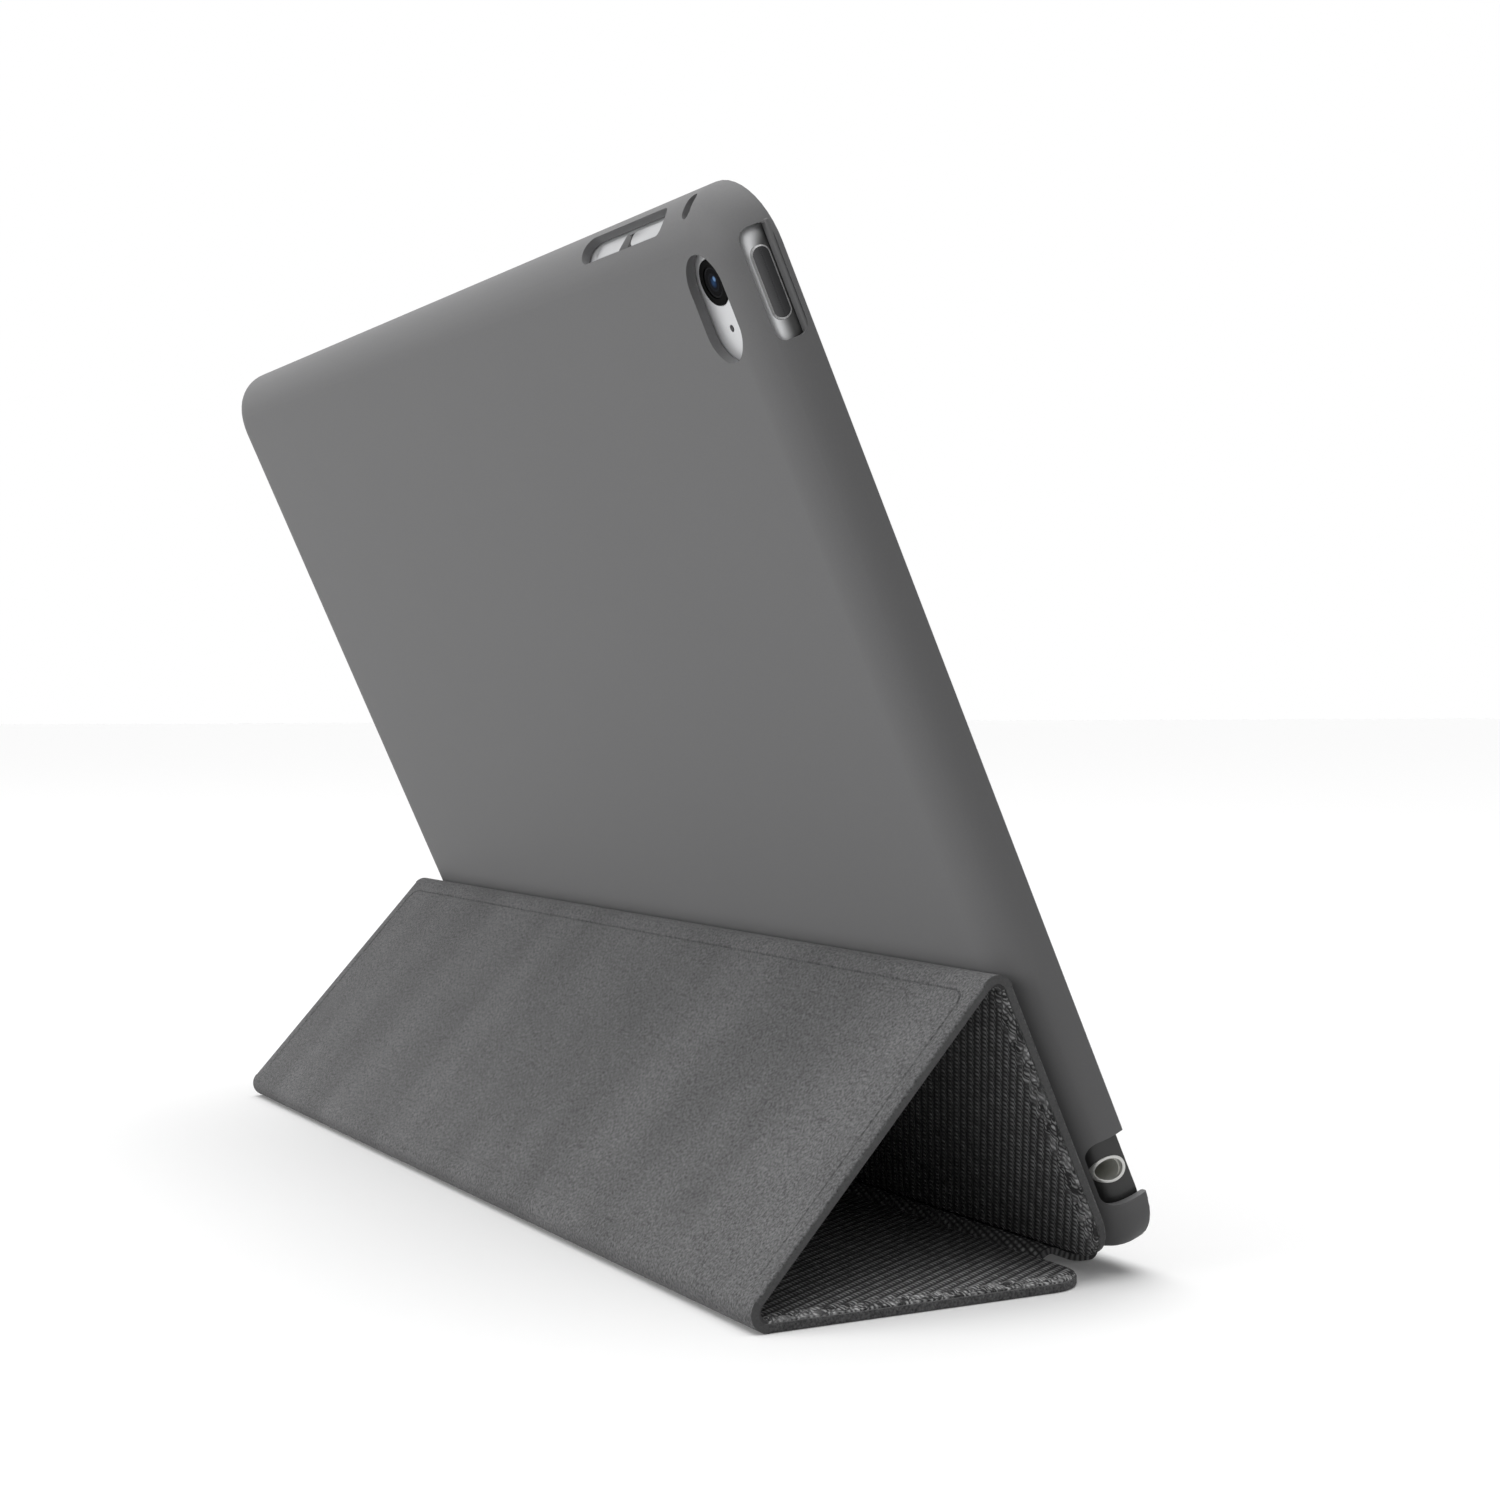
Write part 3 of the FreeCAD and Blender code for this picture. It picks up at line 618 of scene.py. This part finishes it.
# Each panel of the cover is stiffened by a thin board, bonded between its two cloths.
# Plated magnets and a steel keeper are let into the boards.
BOARD_GREY = (0.22, 0.22, 0.21, 1.0)
PLATED_SILVER = (0.55, 0.55, 0.56, 1.0)
stiff_board = grained("stiff_board", BOARD_GREY, roughness=0.7, grain=0.0005, contrast=0.2, blotch=0.01, mottle=0.1,
                      bump=0.2, depth=0.00003)
plated = grained("plated_magnet", PLATED_SILVER, roughness=0.3, grain=0.0002, contrast=0.1, blotch=0.004, mottle=0.1,
                 bump=0.05, depth=0.00001, metallic=1.0)
for node in ("floor_panel_board", "slope_panel_board", "rest_panel_board"):
    dress(node, stiff_board)
for node in ("keeper_strip", "edge_magnets", "wake_magnet"):
    dress(node, plated)

# The cover's lines come from the frame: the line from one fold axis to the other follows the slope panel,
# and the way the tablet slides out of its shell is square to the rest panel.
rear_axis = Vector(joints["stand_fold"]["pos_m"])
ridge_axis = Vector(joints["ridge_fold"]["pos_m"])
up_slope = (ridge_axis - rear_axis).normalized()
in_slope = Vector((0, -up_slope.z, up_slope.y))
slope_angle = math.atan2(up_slope.z, -up_slope.y)
rear_half = slope_angle / 2
ridge_half = (math.pi - lean_angle - slope_angle) / 2
axis_depth = rear_axis.z
rear_corner = rear_axis + Vector((0, axis_depth / math.tan(rear_half), -axis_depth))
ridge_corner = ridge_axis + up_slope * (axis_depth / math.tan(ridge_half)) - in_slope * axis_depth

# Suede: a brushed microfibre lining, bonded to each board and turned over its edge.
# The press leaves each board's outline as a fine groove in the nap.
SUEDE_GREY = (0.118, 0.118, 0.120, 1.0)
EDGE_GREY = (0.085, 0.085, 0.086, 1.0)
NAP_TURN = (0.0, 0.0, 0.5)
NAP_STRETCH = (42.0, 9.0, 9.0)
NAP_RANGE = (0.35, 0.65)
NAP_SHADES = (0.86, 1.10)
half_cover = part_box("floor_panel_lining")[1][0]
suede_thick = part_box("floor_panel_lining")[1][2]
cover_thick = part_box("floor_panel_twill")[1][2]
FOLD_RADIUS = 0.00285
END_MARGIN = 0.0030
FOLD_MARGIN = 0.0018
PANEL_CORNER = 0.0075
BOARD_CORNER = 0.0030
GROOVE_WIDTH = 0.00024
GROOVE_DEPTH = 0.00034
SUEDE_EDGE = 0.00035
WORN_GROOVE = 0.3
STEEP = 0.6
rear_setback = FOLD_RADIUS / math.tan(rear_half)
ridge_setback = FOLD_RADIUS / math.tan(ridge_half)


def build_suede():
    """Fine grain over a nap that is brushed in long slanted streaks."""
    material, tree, shader = new_finish("brushed_suede", roughness=0.92)
    nodes, links = tree.nodes, tree.links
    use = use_grain(tree, grain=0.00042, contrast=2.6, blotch=0.011, mottle=0.30)
    place = nodes.new("ShaderNodeTexCoord")
    turn = nodes.new("ShaderNodeMapping")
    turn.inputs["Rotation"].default_value = NAP_TURN
    turn.inputs["Scale"].default_value = NAP_STRETCH
    streak = nodes.new("ShaderNodeTexNoise")
    streak.inputs["Scale"].default_value = 1.0
    streak.inputs["Detail"].default_value = 2.0
    nap = nodes.new("ShaderNodeMapRange")
    nap.inputs["From Min"].default_value, nap.inputs["From Max"].default_value = NAP_RANGE
    nap.inputs["To Min"].default_value, nap.inputs["To Max"].default_value = NAP_SHADES
    base = nodes.new("ShaderNodeVectorMath")
    base.operation = "SCALE"
    base.inputs[0].default_value = SUEDE_GREY[:3]
    links.new(place.outputs["Object"], turn.inputs["Vector"])
    links.new(turn.outputs["Vector"], streak.inputs["Vector"])
    links.new(streak.outputs["Fac"], nap.inputs["Value"])
    links.new(nap.outputs["Result"], base.inputs["Scale"])
    links.new(base.outputs["Vector"], use.inputs["Base"])
    links.new(use.outputs["Color"], shader.inputs["Base Color"])
    shader.inputs["Sheen Weight"].default_value = 0.12
    shader.inputs["Sheen Roughness"].default_value = 0.5
    shader.inputs["Specular IOR Level"].default_value = 0.2
    add_bump(tree, shader, use.outputs["Height"], strength=0.7, depth=0.00025)
    return material


suede = build_suede()
cut_edge = grained("cut_cloth_edge", EDGE_GREY, roughness=0.9, grain=0.00035, contrast=0.7, blotch=0.006, mottle=0.25,
                   bump=0.4, depth=0.00012)


def panel_axes(start, along):
    """A panel's own axes: x along the cover, y from one fold to the next, z from the suede to the twill."""
    place = Matrix((sideways, along, sideways.cross(along))).transposed().to_4x4()
    place.translation = start
    return place


def suede_panel(name, place, length, near_free, far_free, edge_finish):
    """A suede slab with the board's outline pressed in; a free end has round corners and a wide margin."""
    near_margin = END_MARGIN if near_free else FOLD_MARGIN
    far_margin = END_MARGIN if far_free else FOLD_MARGIN
    bm = bmesh.new()
    board = rounded_face(bm, half_cover - END_MARGIN, near_margin, length - far_margin, BOARD_CORNER)
    margin = bmesh.ops.extrude_edge_only(bm, edges=board.edges[:])
    for vert in verts_of(margin):
        end = math.copysign(1, vert.co.x)
        near = vert.co.y < length / 2
        turn = Vector((end * (half_cover - END_MARGIN - BOARD_CORNER),
                       near_margin + BOARD_CORNER if near else length - far_margin - BOARD_CORNER, 0))
        arm = (vert.co - turn) / BOARD_CORNER
        radius = PANEL_CORNER
        if not (near_free if near else far_free):
            arm /= max(abs(arm.x), abs(arm.y))
            radius = FOLD_MARGIN
        vert.co = Vector((end * (half_cover - radius), radius if near else length - radius, 0)) + arm * radius
    rim = rim_of(bm)
    wall = bmesh.ops.extrude_edge_only(bm, edges=rim)
    bmesh.ops.translate(bm, verts=verts_of(wall), vec=(0, 0, suede_thick))
    bmesh.ops.holes_fill(bm, edges=rim_of(bm), sides=0)
    for depth in (GROOVE_DEPTH, -GROOVE_DEPTH):
        bmesh.ops.inset_region(bm, faces=[board], thickness=GROOVE_WIDTH, depth=0, use_even_offset=True)
        for vert in board.verts:
            worn = WORN_GROOVE if not near_free and vert.co.y < length / 2 else 1
            vert.co.z += depth * worn
    free_rim = [edge for edge in rim if not (
        (not near_free and max(vert.co.y for vert in edge.verts) < HAIR)
        or (not far_free and min(vert.co.y for vert in edge.verts) > length - HAIR))]
    bmesh.ops.bevel(bm, geom=free_rim, offset=SUEDE_EDGE, affect="EDGES", segments=3, profile=0.5, material=-1)
    bmesh.ops.recalc_face_normals(bm, faces=bm.faces)
    for face in bm.faces:
        on_edge = abs(face.normal.z) < STEEP and face.calc_center_median().z > SUEDE_EDGE
        face.material_index = 1 if on_edge else 0
    return finish_piece(bm, name, (suede, edge_finish), place, sharp=0.3)


floor_front = Vector((0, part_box("floor_panel_lining")[0][1], 0))
floor_length = rear_corner.y - rear_setback - floor_front.y
slope_start = rear_corner + up_slope * rear_setback
slope_length = (ridge_corner - rear_corner).length - rear_setback - ridge_setback
rest_start = ridge_corner - up_rest * ridge_setback
free_edge_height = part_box("rest_panel_lining")[0][2] + suede_thick * math.cos(lean_angle)
rest_length = (rest_start.z - free_edge_height) / up_rest.z
panels = {
    "floor_panel": (panel_axes(floor_front, Vector((0, 1, 0))), floor_length, True, False),
    "slope_panel": (panel_axes(slope_start, up_slope), slope_length, False, False),
    "rest_panel": (panel_axes(rest_start, -up_rest), rest_length, False, True),
}
for body, (place, length, near_free, far_free) in panels.items():
    edge_finish = suede if body == "floor_panel" else cut_edge
    cloth = suede_panel(body + "_suede", place, length, near_free, far_free, edge_finish)
    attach(cloth, body)
    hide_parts(body + "_lining")

# Twill: a coarse dark ribbed weave bonded to the other face of each board.
# Its ribs run steeply across the cover, and the two end panels mirror each other.
TWILL_DARK = (0.052, 0.052, 0.053, 1.0)
TWILL_LIGHT = (0.76, 0.76, 0.765, 1.0)
RIB_PITCH = 0.00165
RIB_HEIGHT = 0.00026
RIB_FADE = 0.0008
RIB_STEPS = 6
RIB_ANGLE = math.radians(57)
STITCH_PITCH = 0.00095
END_BAND = 0.0048
END_FULL = 0.00288
END_SHIFT = 5.2
END_MIDDLE = 0.46
END_CONTRAST = 1.3
PULL_PER_METRE = 430.0
FUZZ_PER_METRE = 5200.0
FUZZ_CONTRAST = 0.35
STRAND_SLANT = 0.45
STRAND_POWER = 2.0
CROWN_POWER = 1.3
LUCK_LOW = 0.5
LUCK_RANGE = 0.55
CORNER_CUTS = 6
TWILL_INSET = 0.0005


def build_twill():
    """Rows of short slanted strands on the crown of each rib, whose crowns are painted light and whose gaps are
    painted dark as the ribs' light and shade; near the cover's ends the rows are pulled about.
    """
    material, tree, shader = new_finish("ribbed_twill", roughness=0.85)
    nodes, links = tree.nodes, tree.links
    step = chain(tree)
    weave = nodes.new("ShaderNodeUVMap")
    weave.uv_map = "weave"
    split = nodes.new("ShaderNodeSeparateXYZ")
    links.new(weave.outputs["UV"], split.inputs["Vector"])
    place = nodes.new("ShaderNodeTexCoord")
    from_middle = step("ABSOLUTE", object_axes(tree)["X"])
    near_end = ramp_between(tree, from_middle, half_cover - END_BAND, half_cover - END_FULL)
    pull = nodes.new("ShaderNodeTexNoise")
    pull.inputs["Scale"].default_value = PULL_PER_METRE
    pull.inputs["Detail"].default_value = 1.0
    links.new(place.outputs["Object"], pull.inputs["Vector"])
    pulled = step("MULTIPLY", step("SUBTRACT", pull.outputs["Fac"], 0.5), near_end)
    across = step("ADD", step("DIVIDE", split.outputs["X"], RIB_PITCH), step("MULTIPLY", pulled, END_SHIFT))
    along = step("ADD", step("DIVIDE", split.outputs["Y"], STITCH_PITCH), step("MULTIPLY", across, STRAND_SLANT))
    cell = nodes.new("ShaderNodeCombineXYZ")
    links.new(step("FLOOR", across), cell.inputs["X"])
    links.new(step("FLOOR", along), cell.inputs["Y"])
    chance = nodes.new("ShaderNodeTexWhiteNoise")
    chance.noise_dimensions = "2D"
    links.new(cell.outputs["Vector"], chance.inputs["Vector"])
    fuzz = nodes.new("ShaderNodeTexNoise")
    fuzz.inputs["Scale"].default_value = FUZZ_PER_METRE
    fuzz.inputs["Detail"].default_value = 2.0
    links.new(weave.outputs["UV"], fuzz.inputs["Vector"])
    crown = step("POWER", step("SINE", step("MULTIPLY", step("FRACT", across), math.pi)), CROWN_POWER)
    strand = step("POWER", step("SINE", step("MULTIPLY", step("FRACT", along), math.pi)), STRAND_POWER)
    # Painted light and shade: the crowns are lightened and the gaps darkened, under the strands' own light tone and
    # the pulled ends.
    strands_lit_and_raised = step("MULTIPLY", strand, crown)
    luck = step("ADD", step("MULTIPLY", chance.outputs["Value"], LUCK_RANGE), LUCK_LOW)
    soft = step("MULTIPLY", step("SUBTRACT", fuzz.outputs["Fac"], 0.5), FUZZ_CONTRAST)
    frayed = step("MULTIPLY", step("SUBTRACT", pull.outputs["Fac"], END_MIDDLE), END_CONTRAST)
    shade = step("ADD", step("ADD", step("MULTIPLY", strands_lit_and_raised, luck), soft), step("MULTIPLY", near_end, frayed))
    links.new(mix_colour(tree, shade, TWILL_DARK, TWILL_LIGHT), shader.inputs["Base Color"])
    height = step("ADD", strands_lit_and_raised, step("MULTIPLY", fuzz.outputs["Fac"], FUZZ_CONTRAST))
    add_bump(tree, shader, height, strength=0.8, depth=0.00025)
    shader.inputs["Specular IOR Level"].default_value = 0.25
    return material


twill = build_twill()


def trim_to_panel(bm, half_width, length, near_radius, far_radius):
    """Cuts away what lies outside a panel's outline, corner by corner, and lets the ribs die away at it."""
    for point, normal in (((half_width - RIB_FADE, 0), (1, 0)), ((RIB_FADE - half_width, 0), (1, 0)),
                          ((0, RIB_FADE), (0, 1)), ((0, length - RIB_FADE), (0, 1))):
        cut_plane(bm, (*point, 0), (*normal, 0), touch=1e-8)
    cuts = [((half_width, 0), (1, 0)), ((-half_width, 0), (-1, 0)), ((0, 0), (0, -1)), ((0, length), (0, 1))]
    for radius, y, side in ((near_radius, near_radius, -1), (far_radius, length - far_radius, 1)):
        if not radius:
            continue
        for end in (-1, 1):
            centre = Vector((end * (half_width - radius), y))
            for step in range(1, CORNER_CUTS):
                turn = math.pi / 2 * step / CORNER_CUTS
                normal = Vector((end * math.cos(turn), side * math.sin(turn)))
                cuts.append((centre + normal * radius, normal))
    for point, normal in cuts:
        cut_plane(bm, (point[0], point[1], 0), (normal[0], normal[1], 0), touch=1e-8, clear_outer=True)
    for vert in {vert for edge in rim_of(bm) for vert in edge.verts}:
        vert.co.z = cover_thick - RIB_HEIGHT


def twill_panel(name, place, length, near_free, far_free, rib_angle):
    """A slab whose face is woven in raised ribs, trimmed to the panel and closed at its edges and back."""
    bm = bmesh.new()
    reach = half_cover + length
    ribs = int(2 * reach / RIB_PITCH)
    bmesh.ops.create_grid(bm, x_segments=ribs * RIB_STEPS, y_segments=1, size=0.5)
    weave = bm.loops.layers.uv.new("weave")
    for vert in bm.verts:
        step = round((vert.co.x + 0.5) * ribs * RIB_STEPS)
        vert.co.x = (step / RIB_STEPS - ribs / 2) * RIB_PITCH
        vert.co.y *= 2 * reach
        vert.co.z = cover_thick - RIB_HEIGHT * (1 - abs(math.sin(math.pi * step / RIB_STEPS)))
    for face in bm.faces:
        for loop in face.loops:
            loop[weave].uv = (loop.vert.co.x + 1.0, loop.vert.co.y + 1.0)
    bmesh.ops.rotate(bm, verts=bm.verts, cent=(0, 0, 0), matrix=Matrix.Rotation(rib_angle - math.pi / 2, 3, "Z"))
    bmesh.ops.translate(bm, verts=bm.verts, vec=(0, length / 2, 0))
    near_radius, far_radius = (PANEL_CORNER if free else 0 for free in (near_free, far_free))
    trim_to_panel(bm, half_cover - TWILL_INSET, length, near_radius, far_radius)
    skirt = bmesh.ops.extrude_edge_only(bm, edges=rim_of(bm))
    for vert in verts_of(skirt):
        vert.co.z = suede_thick
    bmesh.ops.holes_fill(bm, edges=rim_of(bm), sides=0)
    return finish_piece(bm, name, (twill,), place, sharp=1.2)


rib_angles = {"floor_panel": -RIB_ANGLE, "slope_panel": -RIB_ANGLE, "rest_panel": RIB_ANGLE}
for body, (place, length, near_free, far_free) in panels.items():
    cloth = twill_panel(body + "_ribs", place, length, near_free, far_free, rib_angles[body])
    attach(cloth, body)
    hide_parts(body + "_twill")

# Folds: between two boards the suede and the twill are pressed together with nothing stiff in them,
# so the cover turns there in a soft round bend.
FOLD_STEPS = 16


def fold_strip(name, centre, first, sweep, outer, inner, half_width, material):
    """A band of cloth swept about a line along x, from the direction first by the angle sweep."""
    bm = bmesh.new()
    corners = [bm.verts.new(centre + first * radius + Vector((x, 0, 0)))
               for x, radius in ((-half_width, inner), (half_width, inner), (half_width, outer), (-half_width, outer))]
    section = bm.faces.new(corners)
    bmesh.ops.spin(bm, geom=[section] + list(section.edges) + corners, cent=centre, axis=(1, 0, 0), angle=sweep,
                   steps=FOLD_STEPS, use_merge=False)
    weave = bm.loops.layers.uv.new("weave")
    for face in bm.faces:
        for loop in face.loops:
            arm = loop.vert.co - centre
            turn = math.atan2(arm.z, arm.y)
            loop[weave].uv = (loop.vert.co.x + 1.0, turn * outer + 1.0)
    bmesh.ops.recalc_face_normals(bm, faces=bm.faces)
    for face in bm.faces:
        face.material_index = 1 if abs(face.normal.x) > STEEP else 0
    return finish_piece(bm, name, (material, cut_edge), Matrix.Identity(4))


rear_centre = Vector((0, rear_corner.y - rear_setback, FOLD_RADIUS))
ridge_centre = ridge_corner - up_slope * ridge_setback + in_slope * FOLD_RADIUS
folds = {
    "rear_fold": (rear_centre, Vector((0, 0, -1)), math.pi - slope_angle, "floor_panel", "slope_panel", slope_start),
    "ridge_fold": (ridge_centre, -in_slope, lean_angle + slope_angle, "slope_panel", "rest_panel", rest_start),
}
inner_radius = FOLD_RADIUS - cover_thick
seam_radius = FOLD_RADIUS - suede_thick
for node, (centre, first, sweep, body, next_body, finish_point) in folds.items():
    outside = fold_strip(node + "_suede", centre, first, sweep, FOLD_RADIUS, seam_radius, half_cover, suede)
    inside = fold_strip(node + "_twill", centre, first, sweep, seam_radius, inner_radius, half_cover - TWILL_INSET,
                        twill)
    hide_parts(node)
    for band, slot in ((outside, "microfibre"), (inside, "twill")):
        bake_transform(band)
        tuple(finish_point)

# Spine: a narrow doubled strip of the cover's cloth. It leaves the floor panel's front edge, arches under the
# shell's lower edge, turns back on itself and is glued round that edge.
SPINE_THICK = 0.0010
SPINE_HUMP = 0.0017
SPINE_STEPS = 24
SPINE_TUCK = 0.0015
ARCH_LEAN = 1.6
TUCK_FROM = 0.6
TAB_GAP = 0.0003
TAB_THICK = 0.0012
TAB_END = math.radians(56)
spine_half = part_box("spine_strip")[1][0]
loop_axis = Vector(joints["shell_hinge"]["pos_m"])
loop_low, loop_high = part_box("spine_loop")
loop_radius = (loop_high[2] - loop_low[2]) / 2
strip_reach = floor_front.y + SPINE_TUCK - loop_axis.y
strip_middle = loop_low[2] + SPINE_THICK / 2


def spine_strip():
    """A strip lifted into an arch that leans to the floor panel, with its end tucked up to that panel's edge."""
    bm = bmesh.new()
    bmesh.ops.create_grid(bm, x_segments=1, y_segments=SPINE_STEPS, size=0.5)
    weave = bm.loops.layers.uv.new("weave")
    for vert in bm.verts:
        share = vert.co.y + 0.5
        vert.co.x *= 2 * spine_half
        vert.co.y = loop_axis.y + share * strip_reach
        arch = math.sin(math.pi * share ** ARCH_LEAN) ** 2
        tuck = (cover_thick / 2 - strip_middle) * max(0.0, share - TUCK_FROM) / (1 - TUCK_FROM)
        vert.co.z = strip_middle + SPINE_HUMP * arch + tuck
    for face in bm.faces:
        for loop in face.loops:
            loop[weave].uv = (loop.vert.co.x + 1.0, loop.vert.co.y + 1.0)
    bmesh.ops.recalc_face_normals(bm, faces=bm.faces)
    bmesh.ops.solidify(bm, geom=bm.faces[:], thickness=SPINE_THICK)
    bmesh.ops.translate(bm, verts=bm.verts, vec=(0, 0, SPINE_THICK / 2))
    return finish_piece(bm, "spine_cloth", (twill,), Matrix.Identity(4))


strip = spine_strip()
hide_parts("spine_strip")
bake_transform(strip)
turn_back = fold_strip("spine_turn", loop_axis, Vector((0, 0, 1)), math.pi, loop_radius, loop_radius - SPINE_THICK,
                       spine_half, suede)
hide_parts("spine_loop")
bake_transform(turn_back)
tab_low, tab_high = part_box("spine_tab")
tab_sweep = TAB_END - (math.pi / 2 - lean_angle)
tab_inner = (tab_high[1] - tab_low[1]) / math.sin(tab_sweep) - TAB_THICK
tab_centre = Vector((0, loop_axis.y + TAB_GAP, tab_low[2] + tab_inner + TAB_THICK))
glued = fold_strip("spine_glued_edge", tab_centre, Vector((0, 0, -1)), tab_sweep, tab_inner + SPINE_THICK, tab_inner,
                   spine_half, suede)
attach(glued, "shell")
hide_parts("spine_tab")

# Stage: a pale floor that keeps the shadow, clear from below so that the underside can be looked at,
# and a plain white surround.
FLOOR_WHITE = (0.95, 0.95, 0.95, 1.0)
FLOOR_BOUNCE = (0.42, 0.42, 0.42, 1.0)
FLOOR_LIFT = 0.06
FLOOR_SIZE = 20
FLOOR_DROP = 0.00005
floor_mesh = bpy.data.meshes.new("floor")
bm = bmesh.new()
bmesh.ops.create_grid(bm, x_segments=1, y_segments=1, size=FLOOR_SIZE)
bmesh.ops.translate(bm, verts=bm.verts, vec=(0, 0, -FLOOR_DROP))
bm.to_mesh(floor_mesh)
bm.free()
floor = bpy.data.objects.new("floor", floor_mesh)
bpy.context.scene.collection.objects.link(floor)
pale, pale_tree, pale_shader = new_finish("pale_floor", roughness=0.9)
floor_mesh.materials.append(pale)
pale_shader.inputs["Specular IOR Level"].default_value = 0.0


def seen_directly(tree):
    """1 where the eye looks straight at it, in a mirror or through glass, and 0 for light that bounces."""
    path = tree.nodes.new("ShaderNodeLightPath")
    total = path.outputs["Is Camera Ray"]
    for ray in ("Is Glossy Ray", "Is Transmission Ray"):
        total = chain(tree)("MAXIMUM", total, path.outputs[ray])
    return total


floor_seen = seen_directly(pale_tree)
floor_tone = mix_colour(pale_tree, floor_seen, FLOOR_BOUNCE, FLOOR_WHITE)
pale_tree.links.new(floor_tone, pale_shader.inputs["Base Color"])
pale_shader.inputs["Emission Color"].default_value = (1, 1, 1, 1)
floor_glow = chain(pale_tree)("MULTIPLY", floor_seen, FLOOR_LIFT)
pale_tree.links.new(floor_glow, pale_shader.inputs["Emission Strength"])
from_below = pale_tree.nodes.new("ShaderNodeNewGeometry")
clear = pale_tree.nodes.new("ShaderNodeBsdfTransparent")
either = pale_tree.nodes.new("ShaderNodeMixShader")
pale_tree.links.new(from_below.outputs["Backfacing"], either.inputs["Fac"])
pale_tree.links.new(pale_shader.outputs["BSDF"], either.inputs[1])
pale_tree.links.new(clear.outputs["BSDF"], either.inputs[2])
pale_tree.links.new(either.outputs["Shader"], pale_tree.nodes["Material Output"].inputs["Surface"])

# Light: a wide soft overhead light, a large soft box behind the prop, a weaker one at its open end,
# and an even surround that is white to the eye.
SURROUND = 0.22
OVERHEAD = 2.3
OVERHEAD_SPREAD = math.radians(70)
OVERHEAD_TILT = (math.radians(-3), math.radians(2), 0)
BACK_BOX_WATTS = 37.0
BACK_BOX_SIZE = 1.6
BACK_BOX_PLACE = (0.30, 2.00, 0.22)
END_BOX_WATTS = 2.4
END_BOX_SIZE = 1.2
END_BOX_PLACE = (-0.95, 0.30, 1.25)
BOXES_AIM = Vector((0, 0, 0.06))
world = bpy.data.worlds.new("surround")
bpy.context.scene.world = world
world.use_nodes = True
surround = world.node_tree.nodes["Background"]
surround.inputs["Color"].default_value = (1, 1, 1, 1)
brightness = world.node_tree.nodes.new("ShaderNodeMapRange")
brightness.inputs["To Min"].default_value = SURROUND
brightness.inputs["To Max"].default_value = 1.0
world.node_tree.links.new(seen_directly(world.node_tree), brightness.inputs["Value"])
world.node_tree.links.new(brightness.outputs["Result"], surround.inputs["Strength"])
overhead = bpy.data.lights.new("overhead", "SUN")
overhead.energy = OVERHEAD
overhead.angle = OVERHEAD_SPREAD
overhead_object = bpy.data.objects.new("overhead", overhead)
overhead_object.rotation_euler = OVERHEAD_TILT
bpy.context.scene.collection.objects.link(overhead_object)
for name, watts, size, place in (("back_box", BACK_BOX_WATTS, BACK_BOX_SIZE, BACK_BOX_PLACE),
                                 ("end_box", END_BOX_WATTS, END_BOX_SIZE, END_BOX_PLACE)):
    box = bpy.data.lights.new(name, "AREA")
    box.energy = watts
    box.size = size
    box_object = bpy.data.objects.new(name, box)
    box_object.location = place
    box_object.rotation_euler = (BOXES_AIM - box_object.location).to_track_quat("-Z", "Y").to_euler()
    bpy.context.scene.collection.objects.link(box_object)

# Camera: where the photograph was taken from, behind the prop and low.
# The shift is the photograph's crop: its picture centre is not the lens's axis.
CAMERA_PLACE = Vector((-0.41816, 0.18883, 0.08633))
CAMERA_YAW = math.radians(118.787)
CAMERA_PITCH = math.radians(0.466)
CAMERA_ROLL = math.radians(0.108)
FRAME_PIXELS = 1500.0
FOCAL_PIXELS = 2426.8
CENTRE_PIXEL = (800.0, 732.06)
camera = bpy.data.cameras.new("camera")
camera.sensor_width = 36.0
camera.lens = FOCAL_PIXELS / FRAME_PIXELS * camera.sensor_width
camera.shift_x = (FRAME_PIXELS / 2 - CENTRE_PIXEL[0]) / FRAME_PIXELS
camera.shift_y = (CENTRE_PIXEL[1] - FRAME_PIXELS / 2) / FRAME_PIXELS
camera.clip_start = 0.01
view = Vector((math.sin(CAMERA_YAW) * math.cos(CAMERA_PITCH), math.cos(CAMERA_YAW) * math.cos(CAMERA_PITCH),
               -math.sin(CAMERA_PITCH)))
camera_object = bpy.data.objects.new("camera", camera)
turned = view.to_track_quat("-Z", "Y").to_matrix().to_4x4() @ Matrix.Rotation(-CAMERA_ROLL, 4, "Z")
camera_object.matrix_world = Matrix.Translation(CAMERA_PLACE) @ turned
bpy.context.scene.collection.objects.link(camera_object)
bpy.context.scene.camera = camera_object
bpy.context.scene.view_settings.view_transform = "Standard"
